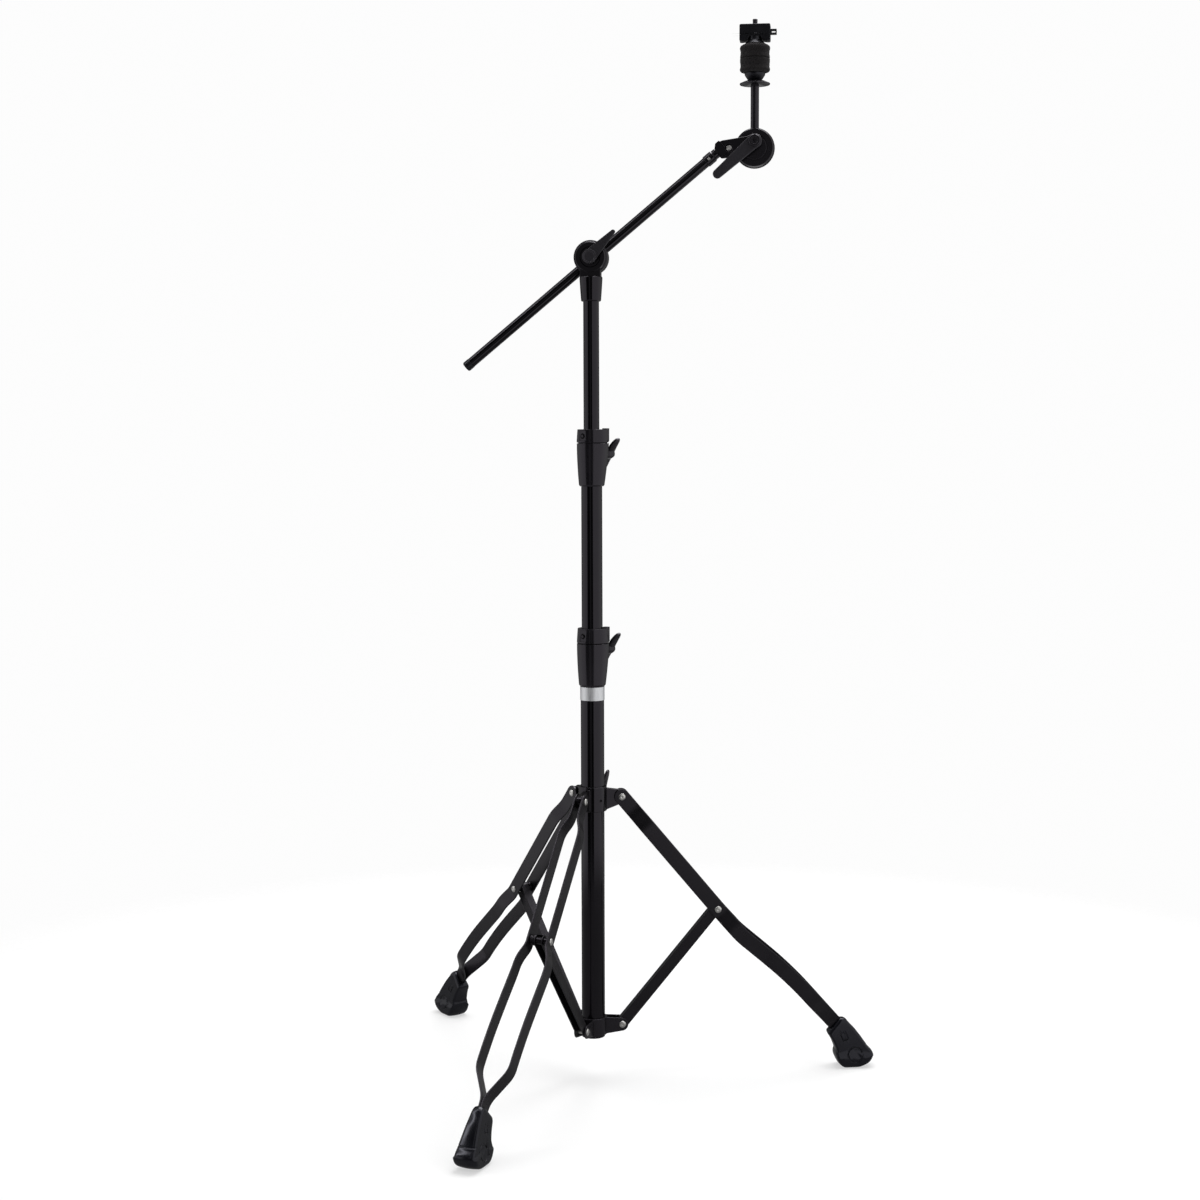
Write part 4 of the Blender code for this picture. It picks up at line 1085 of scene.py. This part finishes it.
def build_world():
    """A white room with a dark panel, which gives the gloss its black stripe, and dim strips on the panel."""
    world = bpy.data.worlds.new("studio")
    world.use_nodes = True
    bpy.context.scene.world = world
    w = Nodes(world.node_tree)
    w.tree.nodes.clear()
    generated = w.node("TexCoord").outputs["Generated"]
    parts = w.node("SeparateXYZ", {"Vector": generated}).outputs
    turn = w.times(w.math("ARCTAN2", parts["Y"], parts["X"]), 180 / math.pi)

    def ramp(value, *ends):
        return w.remap(value, *ends, interpolation_type="SMOOTHSTEP")

    def beside(offset, *ends):
        """A smooth step by the angle, round the horizon, from an azimuth at an offset from the camera's."""
        shifted = w.math("SUBTRACT", turn, CAMERA_AZIMUTH + offset)
        wrapped = w.node("Math", {0: shifted, 1: 180.0, 2: -180.0}, operation="WRAP")
        return ramp(w.math("ABSOLUTE", wrapped.outputs["Value"], 0.0), *ends)

    panel = beside(-20.0, 29.0, 34.0, 0.02, 1.02)
    strip = beside(-15.0, 5.0, 10.0, 0.20, 0.0)
    behind = beside(180.0, 20.0, 95.0, 0.12, 1.0)
    canopy = beside(-55.0, 11.0, 15.0, 0.88, 0.0)
    lamp = beside(-75.0, 3.0, 6.0, 6.0, 0.0)
    glow = beside(-35.0, 3.0, 8.0, 0.7, 0.0)
    overhead = ramp(parts["Z"], 0.88, 0.98)
    upper = ramp(parts["Z"], 0.42, 0.52)
    below = ramp(parts["Z"], -0.30, -0.45, 0.0, 0.85)
    open_share = w.math("SUBTRACT", 1.0, w.times(canopy, upper))
    level = w.plus(w.times(w.times(panel, behind), open_share), strip)
    level = w.plus(level, w.times(w.plus(lamp, glow), upper))
    level = w.math("MAXIMUM", w.math("MAXIMUM", level, overhead), below)
    room = w.node("Background", {"Strength": level})
    backdrop = w.node("Background", {"Color": (0.98, 0.98, 0.98, 1)})
    seen = w.node("LightPath").outputs["Is Camera Ray"]
    shades = {"Fac": seen, 1: room.outputs["Background"], 2: backdrop.outputs["Background"]}
    mixer = w.node("MixShader", shades)
    w.node("OutputWorld", {"Surface": mixer.outputs["Shader"]})


def soft_box(name, azimuth, elevation, distance, size, power):
    data = bpy.data.lights.new(name, "AREA")
    data.shape = "RECTANGLE"
    data.size, data.size_y = size
    data.energy = power
    light = linked(name, data)
    a, e = math.radians(azimuth), math.radians(elevation)
    away = Vector((math.cos(a) * math.cos(e), math.sin(a) * math.cos(e), math.sin(e)))
    light.location = Vector((0, 0, 0.6)) + away * distance
    light.rotation_euler = away.to_track_quat("Z", "Y").to_euler()
    light.visible_camera = False


def build_floor():
    """A pale floor that fades out at its edge, and is dim in reflections so that the black stays black."""
    f = Finish("pale_floor", Roughness=0.85, Specular_IOR_Level=0.1, Emission_Color=(1.0, 1.0, 1.0, 1.0))
    grain = f.remap(f.noise(MM / 3.0, 2.0, 0.5), 0.0, 1.0, 0.90, 0.94)
    mirrored = f.node("LightPath").outputs["Is Glossy Ray"]
    tone = f.times(grain, f.remap(mirrored, 0.0, 1.0, 1.0, 0.22))
    f.set("Base Color", f.times(tone, 0.42))
    f.set("Emission Strength", f.times(tone, 0.60))
    distance = f.node("VectorMath", {0: f.place}, operation="LENGTH").outputs["Value"]
    fade_start, fade_end = FLOOR_RADIUS * 0.72, FLOOR_RADIUS * 0.99
    f.set("Alpha", f.remap(distance, fade_start, fade_end, 1.0, 0.0, interpolation_type="SMOOTHSTEP"))
    bm = bmesh.new()
    bmesh.ops.create_circle(bm, cap_ends=True, radius=FLOOR_RADIUS, segments=96)
    mesh = as_mesh(bm)
    mesh.materials.append(f.material)
    floor = linked("floor", mesh)


def build_studio():
    build_camera()
    build_world()
    soft_box("overhead", CAMERA_AZIMUTH + 150.0, 70.0, 2.8, (2.6, 2.6), 110.0)
    build_floor()
    bpy.context.scene.view_settings.view_transform = "Standard"


build_tripod()
build_mast()
build_boom()
build_seat()
build_studio()
